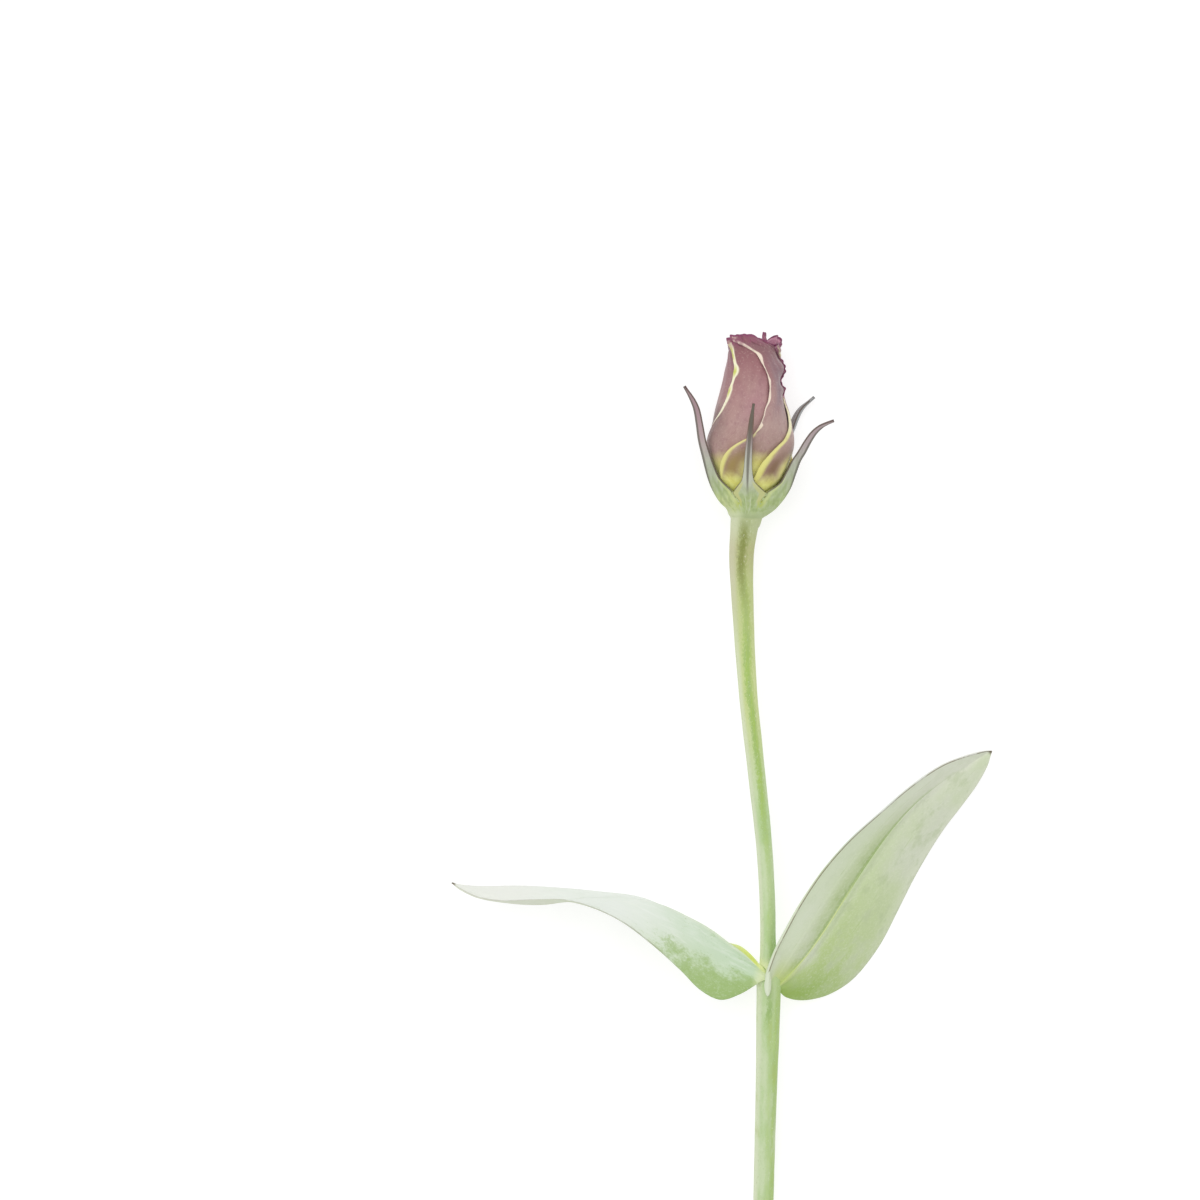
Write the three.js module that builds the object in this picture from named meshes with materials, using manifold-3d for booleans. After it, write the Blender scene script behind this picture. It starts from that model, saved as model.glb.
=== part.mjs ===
// A cut lisianthus stem with one double bud about to open, lying on a table.
//
// Units are millimetres and +Z is up. The stem lies along Y with its bud at the +Y end, and the leaf pair
// spreads to both sides. The origin is under the middle of the flower, on the table.
//
// Two frames are used below. The sketch frame has its origin at the leaf pair, at table height, and the whole
// flower is drawn in it. The bloom frame has its origin at the foot of the petals and its Y axis up the bud:
// there a point is given by its height along the bud, its distance from the bud's axis, and its turn round
// that axis, which is 0 degrees on the upper side and 90 degrees on the +X side.
import * as THREE from "three";
import { mergeVertices } from "three/addons/utils/BufferGeometryUtils.js";
import Module from "manifold-3d";

const wasm = await Module();
wasm.setup();

// ---- Driving dimensions -------------------------------------------------------------------------------

const GAP = 0.3; // between pieces that touch on the plant
const MIDDLE = new THREE.Vector2(-6.41, 35.45); // of the flower's outline, in the sketch frame

const PETALS = 5; // in each whorl
const PETAL_THICKNESS = 0.6;
const PETAL_PITCH = 0.95; // from one wrapped layer to the next
const WHORL_TURN = 360 / PETALS;
const BUD_BASE = new THREE.Vector3(-0.45, 103.8, 9.17); // foot of the petals, in the sketch frame
const BUD_LEAN = THREE.MathUtils.degToRad(-1.4); // of the bud from the Y axis, towards +X

const LEAF_THICKNESS = 0.6;
const RIB_THICKNESS = 0.5; // that the middle rib adds

// Stem: centre line from the cut end to the bud, and the radius at each of its points.
const STEM = [
  { at: [2.4, -69.3, 2.15], radius: 2.2 },
  { at: [2.75, -49.3, 3.4], radius: 2.2 },
  { at: [3.25, -27.5, 5.6], radius: 2.3 },
  { at: [3.7, -5.5, 8.0], radius: 2.6 },
  { at: [3.65, 0, 8.5], radius: 2.4 },
  { at: [3.6, 5.5, 8.8], radius: 1.75 },
  { at: [3.4, 16.5, 9.1], radius: 1.68 },
  { at: [2.6, 29.5, 9.3], radius: 1.75 },
  { at: [0.7, 47.3, 9.3], radius: 1.9 },
  { at: [-0.9, 62.7, 9.2], radius: 2.0 },
  { at: [-1.9, 79.2, 9.0], radius: 2.3 },
  { at: [-2.3, 91.3, 8.9], radius: 2.7 },
  { at: [-1.5, 98, 8.85], radius: 3.3 },
  { at: [-0.85, 100.1, 8.85], radius: 3.75 },
  { at: [-0.8, 100.7, 8.85], radius: 3.9 },
];
const CUT_SLANT = 0.7; // run of the cut face for each millimetre across

// Left leaf: its two margins and middle rib, from the stem to the tip. It stands on its far margin.
const LEFT_NEAR = [
  [1.4, -1.4, 10.6], [-2.6, -4, 12], [-7, -5.2, 13.2], [-11.4, -3, 14.6], [-15.8, 1.5, 16.6],
  [-22.4, 7.6, 19.2], [-29, 12.6, 20.8], [-35.6, 15.7, 20.8], [-41.1, 17.1, 19.8], [-46.6, 17.1, 18.6],
  [-55.4, 16.7, 15.6], [-60.3, 17.4, 13.6], [-64, 19, 12], [-66, 20.4, 11.5],
];
const LEFT_RIB = [
  [1.6, 0.4, 9.4], [-1.5, 3.3, 9.7], [-4.8, 6.2, 10], [-9.2, 9.8, 10.3], [-13.6, 12.4, 10.7],
  [-20.2, 15.4, 11], [-26.8, 16.7, 11.3], [-33.4, 16.9, 11.5], [-40, 16.5, 11.5], [-46.4, 15.7, 11.3],
  [-53.2, 16, 11], [-59.8, 17.1, 10.8], [-64, 18.9, 11], [-66, 20.4, 11.5],
];
const LEFT_FAR = [
  [1.4, 1.6, 8.2], [-0.4, 4.2, 6.4], [-2.6, 5.9, 4.2], [-5.9, 6.9, 2.2], [-11.4, 9.7, 0.7],
  [-18, 13.6, -0.05], [-24.6, 16.5, 0.4], [-33.4, 17.8, 1.2], [-42.2, 18.7, 2.6], [-51, 19.3, 4.8],
  [-59.8, 19.4, 8], [-64.2, 19.9, 10.3], [-66, 20.4, 11.5],
];

// Right leaf: it lies on its right margin, and its left margin stands up and clasps the stem's front.
const RIGHT_LEFT = [
  [3.4, -4.2, 11.9], [2.9, -2, 12], [3, 0.2, 12.1], [3.8, 2.8, 12.3], [5, 5.9, 12.6], [6.8, 9.4, 13],
  [10.4, 15.9, 14], [15.6, 23.5, 14.9], [21.4, 30.1, 15.1], [28, 36, 14.4], [34.7, 41.6, 12.9],
  [41.4, 46, 10.8], [46.9, 48.1, 8.8], [51.3, 49.1, 6.9], [53.1, 49.1, 6],
];
const RIGHT_RIB = [
  [5.6, -2.6, 8.9], [8.6, -0.2, 8.7], [12.5, 4, 8.4], [16.3, 9.2, 8], [20, 15, 7.7], [23.9, 21.3, 7.5],
  [27.7, 27.1, 7.3], [31.5, 32.3, 7.1], [35.2, 36.5, 6.9], [38.9, 39.9, 6.7], [42.9, 42.9, 6.4],
  [46.9, 45.5, 6.2], [50.6, 48, 6], [53.1, 49.1, 6],
];
const RIGHT_RIGHT = [
  [6, -3.6, 8], [7.5, -5.1, 6], [10.6, -6, 3.6], [14.2, -5.8, 2], [17.8, -4.7, 1], [21.9, -2.2, 0.5],
  [25.2, 1.2, 0.25], [29, 6.6, 0.2], [32.6, 13.6, 0.25], [36.1, 20.6, 0.5], [39.6, 26.8, 1],
  [43, 32.1, 1.8], [46.5, 36.8, 3], [49.8, 41.5, 4.3], [52.1, 45.8, 5.4], [53.1, 49.1, 6],
];

// Bud: distance of its outside from the axis, by height.
const BUD_PROFILE = [
  [-0.6, 3], [1, 5.1], [4.2, 7.45], [8.6, 9.3], [13.2, 10.05], [18.3, 8.85], [23, 7.55], [27.5, 6.7],
  [32, 6.25], [36, 5.85], [38.5, 5],
];
// Turn of an outer petal's free edge, by height: up to the right round the bud, then back over its top.
const FREE_EDGE = [
  [-0.6, -88], [3, -79], [6.2, -68], [8.6, -52], [13, -20], [16.1, 8], [19.4, 23], [25.5, 37],
  [28.5, 29], [32.6, 5], [34.4, -22], [35.6, -52], [38.5, -66],
];
// Turn covered by one petal, by height.
const PETAL_SPAN = [[-0.6, 68], [2, 82], [8, 128], [16, 142], [30, 140], [38.5, 128]];
const OUTER_TOP = 37.2;
const INNER_TOP = 38;
const INNER_FOOT = 1.6;
const INNER_DEPTH = 2.95; // from the outer whorl's outside to the inner one's
const INNER_EDGE = [[1.6, -80], [8, -55], [16, -15], [26, 15], [38.5, 30]];
const INNER_SPAN = [[1.6, 60], [6, 88], [16, 108], [28, 90], [34, 66], [38.5, 50]];
// How far the outer petals' lips turn in at the top, by height.
const LIP_CURL = [[-0.6, 0], [33, 0], [36, 0.15], [38.5, 0.8]];
const PLAIN = [[-0.6, 0], [38.5, 0]];
// How far an outer petal's free edge stands out, by height.
const FRILL = [[-0.6, 0], [23, 0], [25.8, 0.7], [27.4, 0.1], [30, 1.1], [32.4, 0.4], [35.2, 0.9], [38.5, 0.5]];

// Calyx cup: distance of its outside from the axis, by height.
const CUP_PROFILE = [[-2.9, 4.1], [-2, 5.05], [-1, 5.9], [0, 6.5], [1.1, 6.85]];
// Calyx lobes: turn, then height and distance from the axis of the keel, from foot to tip.
const LOBES = [
  { turn: -4, tilt: 6, keel: [[-2, 4.5], [0.7, 7.9], [4, 9.8], [9.5, 11.6], [16, 12.8], [21.6, 13.9]] },
  {
    turn: 72, tilt: 0,
    keel: [[-2, 4.5], [0.7, 7.9], [4, 9.8], [9.5, 11.8], [12.5, 13.2], [15.2, 14.9], [17.6, 17.6], [18.6, 19.2]],
  },
  {
    turn: 142, tilt: -24,
    keel: [[-2, 4.5], [0.7, 7.7], [4, 9.4], [10, 11.4], [16.5, 12.9], [20.5, 13.9], [23.2, 15.9]],
  },
  { turn: 216, tilt: 4, keel: [[-2, 4.5], [0.7, 7.7], [4, 9.3], [9.5, 10.6], [15, 10.8], [20.6, 9.9]] },
  { turn: 288, tilt: 0, keel: [[-2, 4.5], [0.7, 7.9], [4, 9.9], [9.5, 11.8], [17, 13], [25.2, 15.7]] },
];
const LOBE_WIDTH = [[0, 6.2], [0.16, 7.4], [0.24, 5], [0.34, 2.7], [0.6, 1.7], [0.85, 1.25], [1, 0.45]];
const LOBE_FOLD = [[0, 0.7], [0.2, 2.2], [0.35, 2], [0.6, 0.9], [1, 0.2]]; // depth of the keel's V
const LOBE_THICKNESS = 0.85;

// Pistil inside the bud: height and radius of the ovary and the style, and the two lobes of the stigma.
const PISTIL = [
  [-0.5, 1.1], [1, 1], [5, 0.9], [6.6, 1.7], [8.5, 2.1], [11, 1.9], [13, 0.8], [14.5, 0.5], [21.5, 0.45],
];
const STIGMA = { height: 22, radius: 0.95, spread: 0.75 };
// Stamens: one ring at their foot, then height and distance from the axis of each filament.
const STAMENS = 5;
const STAMEN_RING = { height: 1.9, inner: 1.4, outer: 2.2, depth: 0.8 };
const FILAMENT = [[1.9, 1.8], [4.6, 1.75], [6.4, 2.5], [9, 3.1], [13, 2.8], [15, 2.4]];
const FILAMENT_RADIUS = 0.32;
const ANTHER = { height: 16.4, distance: 2.3, radius: 0.75, length: 3.6 };

const GREEN = { stem: 0xa9bf83, leaf: 0xbfceae, calyx: 0xa7b89a, pistil: 0xc9d48a };
const YELLOW = 0xe3cf73;
const MAUVE = { outer: 0xa88286, inner: 0x9c5578 };

// ---- Helpers ------------------------------------------------------------------------------------------

const lerp = THREE.MathUtils.lerp;
const radians = THREE.MathUtils.degToRad;

// A smooth value at x from a short list of [x, value] pairs.
function along(pairs, x) {
  const last = pairs.length - 1;
  const inside = THREE.MathUtils.clamp(x, pairs[0][0], pairs[last][0]);
  const i = Math.min(pairs.findLastIndex(([at]) => at <= inside), last - 1);
  const slope = (k) => {
    const [a, b] = [pairs[Math.max(k - 1, 0)], pairs[Math.min(k + 1, last)]];
    return (b[1] - a[1]) / (b[0] - a[0]);
  };
  const width = pairs[i + 1][0] - pairs[i][0];
  const s = (inside - pairs[i][0]) / width;
  const [h1, h2] = [s * s * (3 - 2 * s), s * (1 - s)];
  const rise = width * (slope(i) * (1 - s) - slope(i + 1) * s);
  return lerp(pairs[i][1], pairs[i + 1][1], h1) + h2 * rise;
}

// A closed mesh as a solid.
function solid(geometry) {
  const bare = new THREE.BufferGeometry();
  bare.setAttribute("position", geometry.getAttribute("position"));
  bare.setIndex(geometry.index);
  const merged = mergeVertices(bare, 1e-3);
  return new wasm.Manifold(new wasm.Mesh({
    numProp: 3,
    vertProperties: merged.getAttribute("position").array,
    triVerts: new Uint32Array(merged.index.array),
  }));
}

// The largest body of a solid, as a three.js geometry.
function geometryOf(made) {
  const [largest] = made.decompose().sort((a, b) => b.volume() - a.volume());
  const mesh = largest.getMesh();
  const geometry = new THREE.BufferGeometry();
  geometry.setAttribute("position", new THREE.BufferAttribute(mesh.vertProperties, 3));
  geometry.setIndex(new THREE.BufferAttribute(mesh.triVerts, 1));
  geometry.computeVertexNormals();
  return geometry;
}

// Moves every vertex of a geometry to place(x, y, z).
function bend(geometry, place) {
  const position = geometry.getAttribute("position");
  for (let i = 0; i < position.count; i++) {
    const point = place(position.getX(i), position.getY(i), position.getZ(i));
    position.setXYZ(i, point.x, point.y, point.z);
  }
  return geometry;
}

// A blade: one flat sheet is bent twice, into an upper and a lower face that are split into triangles alike,
// and the two are stitched along the rim. place(u, v, side) gives the point at u across, v along and side
// 1 or -1.
function blade(across, length, place) {
  const sheet = new THREE.PlaneGeometry(1, 1, across, length);
  const flat = sheet.getAttribute("position");
  const points = [];
  for (const side of [1, -1]) {
    for (let i = 0; i < flat.count; i++) {
      points.push(...place(flat.getX(i) + 0.5, flat.getY(i) + 0.5, side).toArray());
    }
  }
  const upper = [...sheet.index.array];
  const index = [...upper];
  for (let i = 0; i < upper.length; i += 3) {
    index.push(upper[i] + flat.count, upper[i + 2] + flat.count, upper[i + 1] + flat.count);
  }
  const row = across + 1;
  const corner = (column, line) => line * row + column;
  const rim = [];
  for (let i = 0; i < across; i++) rim.push(corner(i, length));
  for (let i = length; i > 0; i--) rim.push(corner(across, i));
  for (let i = across; i > 0; i--) rim.push(corner(i, 0));
  for (let i = 0; i < length; i++) rim.push(corner(0, i));
  rim.forEach((p, i) => {
    const q = rim[(i + 1) % rim.length];
    index.push(q, p, p + flat.count, q, p + flat.count, q + flat.count);
  });
  const geometry = new THREE.BufferGeometry();
  geometry.setAttribute("position", new THREE.Float32BufferAttribute(points, 3));
  geometry.setIndex(index);
  return geometry;
}

// place() for a blade of the given thickness about a middle surface.
function thicken(surface, thickness) {
  const step = 1e-3;
  return (u, v, side) => {
    const [u0, u1] = [Math.max(u - step, 0), Math.min(u + step, 1)];
    const [v0, v1] = [Math.max(v - step, 0), Math.min(v + step, 1)];
    const across = surface(u1, v).sub(surface(u0, v));
    const length = surface(u, v1).sub(surface(u, v0));
    const normal = across.cross(length).normalize();
    return surface(u, v).addScaledVector(normal, (side * thickness(u, v)) / 2);
  };
}

// A point of the bloom frame.
function round(height, distance, turn) {
  const angle = radians(turn);
  return new THREE.Vector3(distance * Math.sin(angle), height, distance * Math.cos(angle));
}

// ---- Stem ---------------------------------------------------------------------------------------------

const stemLine = new THREE.CatmullRomCurve3(STEM.map(({ at }) => new THREE.Vector3(...at)));
const stemRadii = STEM.map(({ radius }, i) => [i / (STEM.length - 1), radius]);

function stemTube(extra, sides, steps) {
  return bend(new THREE.CylinderGeometry(1, 1, 1, sides, steps), (x, y, z) => {
    const t = y + 0.5;
    const ahead = stemLine.getTangent(t);
    const right = new THREE.Vector3(0, 0, 1).cross(ahead).normalize().negate();
    const up = right.clone().cross(ahead);
    const radius = along(stemRadii, t) + extra;
    const slant = Math.max(1 - t * (STEM.length - 1), 0) * CUT_SLANT * x * radius;
    return stemLine.getPoint(t)
      .addScaledVector(right, x * radius)
      .addScaledVector(up, z * radius)
      .addScaledVector(ahead, slant);
  });
}

// ---- Leaves -------------------------------------------------------------------------------------------

function leafCurve(points) {
  return new THREE.CatmullRomCurve3(points.map((p) => new THREE.Vector3(...p)));
}

// A leaf between two margins, folded along its middle rib. bow lifts the middle of each half off the
// straight line from margin to rib, as a share of that line's length.
function leafBlade({ first, rib, second, bow }) {
  const curves = [first, rib, second].map(leafCurve);
  const surface = (u, v) => {
    const half = u < 0.5 ? 0 : 1;
    const s = u * 2 - half;
    const [from, to] = [curves[half].getPointAt(v), curves[half + 1].getPointAt(v)];
    const width = from.distanceTo(to);
    const lift = bow[half] * width * Math.sin(Math.PI * s);
    return from.lerp(to, s).add(new THREE.Vector3(0, 0, lift));
  };
  const thickness = (u) => LEAF_THICKNESS + RIB_THICKNESS * Math.max(0, 1 - Math.abs(u - 0.5) * 8);
  return blade(12, 26, thicken(surface, thickness));
}

// ---- Bloom --------------------------------------------------------------------------------------------

// A point of a wrapped petal: depth is measured inwards, square to the bud's outside.
function wrapped(height, turn, depth) {
  const radius = along(BUD_PROFILE, height);
  const slope = (along(BUD_PROFILE, height + 0.1) - along(BUD_PROFILE, height - 0.1)) / 0.2;
  const square = 1 / Math.hypot(1, slope);
  return round(height + depth * slope * square, radius - depth * square, turn);
}

// Petals wrap like the leaves of a door: each one's free edge lies on its neighbour, and its other edge is
// tucked under the next one.
function petal({ number, turn, foot, top, free, span, depth, curl, frill, ripple, across, length }) {
  const surface = (u, v) => {
    const crest = top + ripple * Math.sin(u * 9 + number * 2) - 1.2 * ripple * Math.pow(1 - u, 6);
    const height = lerp(foot, crest, Math.pow(v, 1.15));
    const cover = along(span, height) * u;
    const layer = (PETAL_PITCH * cover) / WHORL_TURN;
    const edge = along(free, height) + turn + number * WHORL_TURN;
    const inward = along(curl, height) - along(frill, height) * Math.max(0, 1 - u * across);
    return wrapped(height, edge + cover, depth + inward + PETAL_THICKNESS / 2 + layer);
  };
  return blade(across, length, thicken(surface, () => PETAL_THICKNESS));
}

function outerPetal(number) {
  return petal({
    number, turn: 0, foot: -0.4, top: OUTER_TOP, free: FREE_EDGE, span: PETAL_SPAN, depth: 0,
    curl: LIP_CURL, frill: FRILL, ripple: 0.3, across: 12, length: 17,
  });
}

function innerPetal(number) {
  return petal({
    number, turn: 36, foot: INNER_FOOT, top: INNER_TOP, free: INNER_EDGE, span: INNER_SPAN,
    depth: INNER_DEPTH, curl: PLAIN, frill: PLAIN, ripple: 0.5, across: 9, length: 14,
  });
}

// The outside of all the petals, grown by a clearance, as a solid of revolution.
function budEnvelope(clearance) {
  const rows = 16;
  const [low, high] = [BUD_PROFILE[0][0], BUD_PROFILE.at(-1)[0]];
  const outline = [new THREE.Vector2(0, low - clearance)];
  for (let i = 0; i <= rows; i++) {
    const height = lerp(low, high, i / rows);
    const bottom = i === 0 ? clearance : 0;
    outline.push(new THREE.Vector2(along(BUD_PROFILE, height) + clearance * 1.2, height - bottom));
  }
  outline.push(new THREE.Vector2(0, high));
  return new THREE.LatheGeometry(outline, 30);
}

function cup() {
  const outline = CUP_PROFILE.map(([height, radius]) => new THREE.Vector2(radius, height));
  const [low, high] = [CUP_PROFILE[0][0], CUP_PROFILE.at(-1)[0]];
  return new THREE.LatheGeometry(
    [new THREE.Vector2(0, low), ...outline, new THREE.Vector2(0, high)], 30);
}

// One calyx lobe: a narrow blade folded into a keel.
function lobe({ turn, tilt, keel }) {
  const line = new THREE.SplineCurve(keel.map(([height, distance]) => new THREE.Vector2(distance, height)));
  return blade(4, 16, (u, v, side) => {
    const [middle, ahead] = [line.getPointAt(v), line.getTangentAt(v)];
    const fold = along(LOBE_FOLD, v) * Math.abs(u - 0.5) * 2;
    const inward = fold + (side < 0 ? LOBE_THICKNESS * lerp(1, 0.6, v) : 0);
    const distance = middle.x - inward * ahead.y;
    const height = middle.y + inward * ahead.x;
    const aside = (u - 0.5) * along(LOBE_WIDTH, v);
    const point = round(height, distance, 0).add(new THREE.Vector3(aside, 0, 0));
    return point.applyAxisAngle(new THREE.Vector3(0, 1, 0), radians(turn + tilt * v * v));
  });
}

function calyx() {
  const lobes = LOBES.map((each) => solid(lobe(each)));
  const whole = [solid(cup()), ...lobes].reduce((sum, each) => sum.add(each));
  return whole.subtract(solid(budEnvelope(GAP)));
}

function pistil() {
  const outline = PISTIL.map(([height, radius]) => new THREE.Vector2(radius, height));
  const [low, high] = [PISTIL[0][0], PISTIL.at(-1)[0]];
  const style = new THREE.LatheGeometry(
    [new THREE.Vector2(0, low), ...outline, new THREE.Vector2(0, high)], 12);
  const lobes = [-1, 1].map((side) => solid(
    new THREE.SphereGeometry(STIGMA.radius, 10, 6).translate(side * STIGMA.spread, STIGMA.height, 0)));
  return lobes.reduce((sum, each) => sum.add(each), solid(style));
}

function stamens() {
  const { height, inner, outer, depth } = STAMEN_RING;
  const corners = [[inner, 0], [outer, 0], [outer, depth], [inner, depth], [inner, 0]];
  const ring = new THREE.LatheGeometry(corners.map(([x, y]) => new THREE.Vector2(x, height + y)), 20);
  const line = new THREE.SplineCurve(FILAMENT.map(([up, out]) => new THREE.Vector2(out, up)));
  const filament = bend(new THREE.CylinderGeometry(1, 1, 1, 6, 8), (x, y, z) => {
    const [at, ahead] = [line.getPointAt(y + 0.5), line.getTangentAt(y + 0.5)];
    const aside = -x * FILAMENT_RADIUS;
    return new THREE.Vector3(z * FILAMENT_RADIUS, at.y - aside * ahead.x, at.x + aside * ahead.y);
  });
  const anther = new THREE.SphereGeometry(ANTHER.radius, 6, 6)
    .scale(1, ANTHER.length / ANTHER.radius / 2, 1)
    .translate(0, ANTHER.height, ANTHER.distance);
  const one = solid(filament).add(solid(anther));
  let whole = solid(ring);
  for (let i = 0; i < STAMENS; i++) whole = whole.add(one.rotate([0, (i * 360) / STAMENS, 0]));
  return whole;
}

// ---- Assembly -----------------------------------------------------------------------------------------

const flower = new THREE.Group();
const sketch = new THREE.Group();
const bloom = new THREE.Group();
flower.add(sketch);
sketch.add(bloom);
sketch.position.set(-MIDDLE.x, -MIDDLE.y, 0);
bloom.position.copy(BUD_BASE);
bloom.rotation.z = BUD_LEAN;
bloom.updateMatrix();

// What lies below the table's top, in the sketch frame and in the bloom frame.
const TABLE_BLOCK = 400;
const floor = solid(new THREE.BoxGeometry(TABLE_BLOCK, TABLE_BLOCK, TABLE_BLOCK)
  .translate(0, 0, -TABLE_BLOCK / 2));
const toBloom = bloom.matrix.clone().invert().toArray();
const stemRoom = solid(stemTube(GAP, 18, 56));

function add(group, name, colour, geometry, roughness = 0.6) {
  const material = new THREE.MeshStandardMaterial({ color: colour, roughness, metalness: 0 });
  const mesh = new THREE.Mesh(geometry, material);
  mesh.name = name;
  group.add(mesh);
}

const stem = solid(stemTube(0, 12, 56)).subtract(floor);
add(sketch, "stem", GREEN.stem, geometryOf(stem));

const leftLeaf = leafBlade({ first: LEFT_NEAR, rib: LEFT_RIB, second: LEFT_FAR, bow: [0.1, 0.08] });
const rightLeaf = leafBlade({ first: RIGHT_LEFT, rib: RIGHT_RIB, second: RIGHT_RIGHT, bow: [-0.08, 0.08] });
add(sketch, "leaf_left", GREEN.leaf, geometryOf(solid(leftLeaf).subtract(stemRoom).subtract(floor)));
add(sketch, "leaf_right", GREEN.leaf, geometryOf(solid(rightLeaf).subtract(stemRoom).subtract(floor)));

const bloomRoom = floor.add(stemRoom).transform(toBloom);
add(bloom, "calyx", GREEN.calyx, geometryOf(calyx().subtract(bloomRoom)));
add(bloom, "pistil", GREEN.pistil, geometryOf(pistil()));
add(bloom, "stamens", YELLOW, geometryOf(stamens()));
for (let number = 0; number < PETALS; number++) {
  const outer = solid(outerPetal(number)).subtract(floor.transform(toBloom));
  add(bloom, `petal_outer_${number + 1}`, MAUVE.outer, geometryOf(outer));
  add(bloom, `petal_inner_${number + 1}`, MAUVE.inner, geometryOf(solid(innerPetal(number))));
}

export default flower;
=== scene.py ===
"""Dresses a cut lisianthus stem: stalk, leaf pair, calyx and furled double bud, on a pale table."""

import math
from bisect import bisect_right

import bmesh
import bpy
from mathutils import Matrix, Vector, noise


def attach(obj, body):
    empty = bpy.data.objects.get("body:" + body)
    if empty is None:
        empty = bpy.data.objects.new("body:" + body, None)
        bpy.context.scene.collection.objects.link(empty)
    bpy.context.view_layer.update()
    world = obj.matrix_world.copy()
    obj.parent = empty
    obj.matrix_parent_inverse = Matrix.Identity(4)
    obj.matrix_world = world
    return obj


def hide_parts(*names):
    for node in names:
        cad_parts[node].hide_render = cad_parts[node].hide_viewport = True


bl_info = {
    "name": "Lisianthus Flower",
    "version": (1, 0, 0),
    "blender": (4, 5, 0),
    "location": "View3D > Sidebar > Lisianthus",
    "description": "Builds a cut lisianthus stem with its bud, calyx and leaves over the packed frame",
    "category": "Add Mesh",
}

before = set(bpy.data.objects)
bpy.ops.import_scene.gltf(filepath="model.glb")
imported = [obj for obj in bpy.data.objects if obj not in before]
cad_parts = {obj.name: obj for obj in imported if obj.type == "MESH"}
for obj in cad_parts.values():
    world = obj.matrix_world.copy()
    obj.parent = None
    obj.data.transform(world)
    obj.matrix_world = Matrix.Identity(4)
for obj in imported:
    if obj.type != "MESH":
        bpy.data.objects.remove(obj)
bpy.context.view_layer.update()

MM = 0.001
# The flower is drawn in millimetres from the leaf pair, at table height. This is where that point stands.
LEAF_PAIR = Vector((6.41, -35.45, 0.0))
# The bloom is drawn along its own axis, from the foot of the petals.
BUD_BASE = Vector((-0.45, 103.8, 9.17))
BUD_LEAN = math.radians(-1.4)

# Stem: centre line from the cut end to the bud, and the radius at each point.
STEM_LINE = [
    (2.4, -69.3, 2.15), (2.75, -49.3, 3.4), (3.25, -27.5, 5.6), (3.7, -5.5, 8.0), (3.65, 0, 8.5),
    (3.6, 5.5, 8.8), (3.4, 16.5, 9.1), (2.6, 29.5, 9.3), (0.7, 47.3, 9.3), (-0.9, 62.7, 9.2),
    (-1.9, 79.2, 9.0), (-2.3, 91.3, 8.9), (-1.76, 97.9, 8.85), (-1.38, 100, 8.9), (-1.15, 101.4, 9.0),
]
STEM_RADII = [2.2, 2.2, 2.3, 2.6, 2.4, 1.75, 1.68, 1.75, 1.9, 2.0, 2.3, 2.65, 3.0, 3.4, 3.6]
CUT_SLANT = 0.7

# Left leaf, from foot to tip: the margin towards the cut end, the rib and the other margin.
LEFT_NEAR = [
    (3.0, -0.9, 11.0), (1.4, -1.7, 11.1), (-2.6, -4, 12), (-7, -5.2, 13.2), (-11.4, -3, 14.6),
    (-15.8, 1.5, 16.6), (-22.4, 7.6, 19.2), (-29, 12.6, 20.8), (-35.6, 15.7, 20.8),
    (-41.1, 17.1, 19.8), (-46.6, 17.1, 18.6), (-55.4, 16.7, 15.6), (-60.3, 17.4, 13.6), (-64, 19, 12),
    (-66, 20.4, 11.5),
]
LEFT_RIB = [
    (3.3, 0.3, 10.9), (1.5, 1.5, 10.2), (-1.5, 4.1, 9.8), (-4.8, 6.6, 10), (-9.2, 9.9, 10.3),
    (-13.6, 12.4, 10.7), (-20.2, 15.4, 11), (-26.8, 16.7, 11.3), (-33.4, 16.9, 11.5),
    (-40, 16.5, 11.5), (-46.4, 15.7, 11.3), (-53.2, 16, 11), (-59.8, 17.1, 10.8), (-64, 18.9, 11),
    (-66, 20.4, 11.5),
]
LEFT_FAR = [
    (2.4, 1.9, 10.4), (1.2, 2.7, 8.6), (-0.4, 4.35, 6.4), (-2.6, 5.9, 4.2), (-5.9, 6.6, 2.4),
    (-11.4, 9.6, 0.9), (-18, 13.6, 0.3), (-24.6, 16.5, 0.5), (-33.4, 17.8, 1.2), (-42.2, 18.7, 2.6),
    (-51, 19.3, 4.8), (-59.8, 19.4, 8), (-64.2, 19.9, 10.3), (-66, 20.4, 11.5),
]
# Right leaf, from foot to tip: its left margin, its rib and its right margin.
RIGHT_LEFT = [
    (3.35, -3.4, 11.9), (2.9, -1.8, 12), (3, 0.2, 12.1), (3.8, 2.8, 12.3), (5, 5.9, 12.6),
    (6.8, 9.4, 13), (10.4, 15.9, 14), (15.6, 23.5, 14.9), (21.4, 30.1, 15.1), (28, 36, 14.4),
    (34.7, 41.6, 12.9), (41.4, 46, 10.8), (46.9, 48.1, 8.8), (51.3, 49.1, 6.9), (53.1, 49.1, 6),
]
RIGHT_RIB = [
    (5.6, -2.6, 8.9), (8.6, -0.2, 8.7), (12.5, 4, 8.4), (16.3, 9.2, 8), (20, 15, 7.7),
    (23.9, 21.3, 7.5), (27.7, 27.1, 7.3), (31.5, 32.3, 7.1), (35.2, 36.5, 6.9), (38.9, 39.9, 6.7),
    (42.9, 42.9, 6.4), (46.9, 45.5, 6.2), (50.6, 48, 6), (53.1, 49.1, 6),
]
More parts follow.
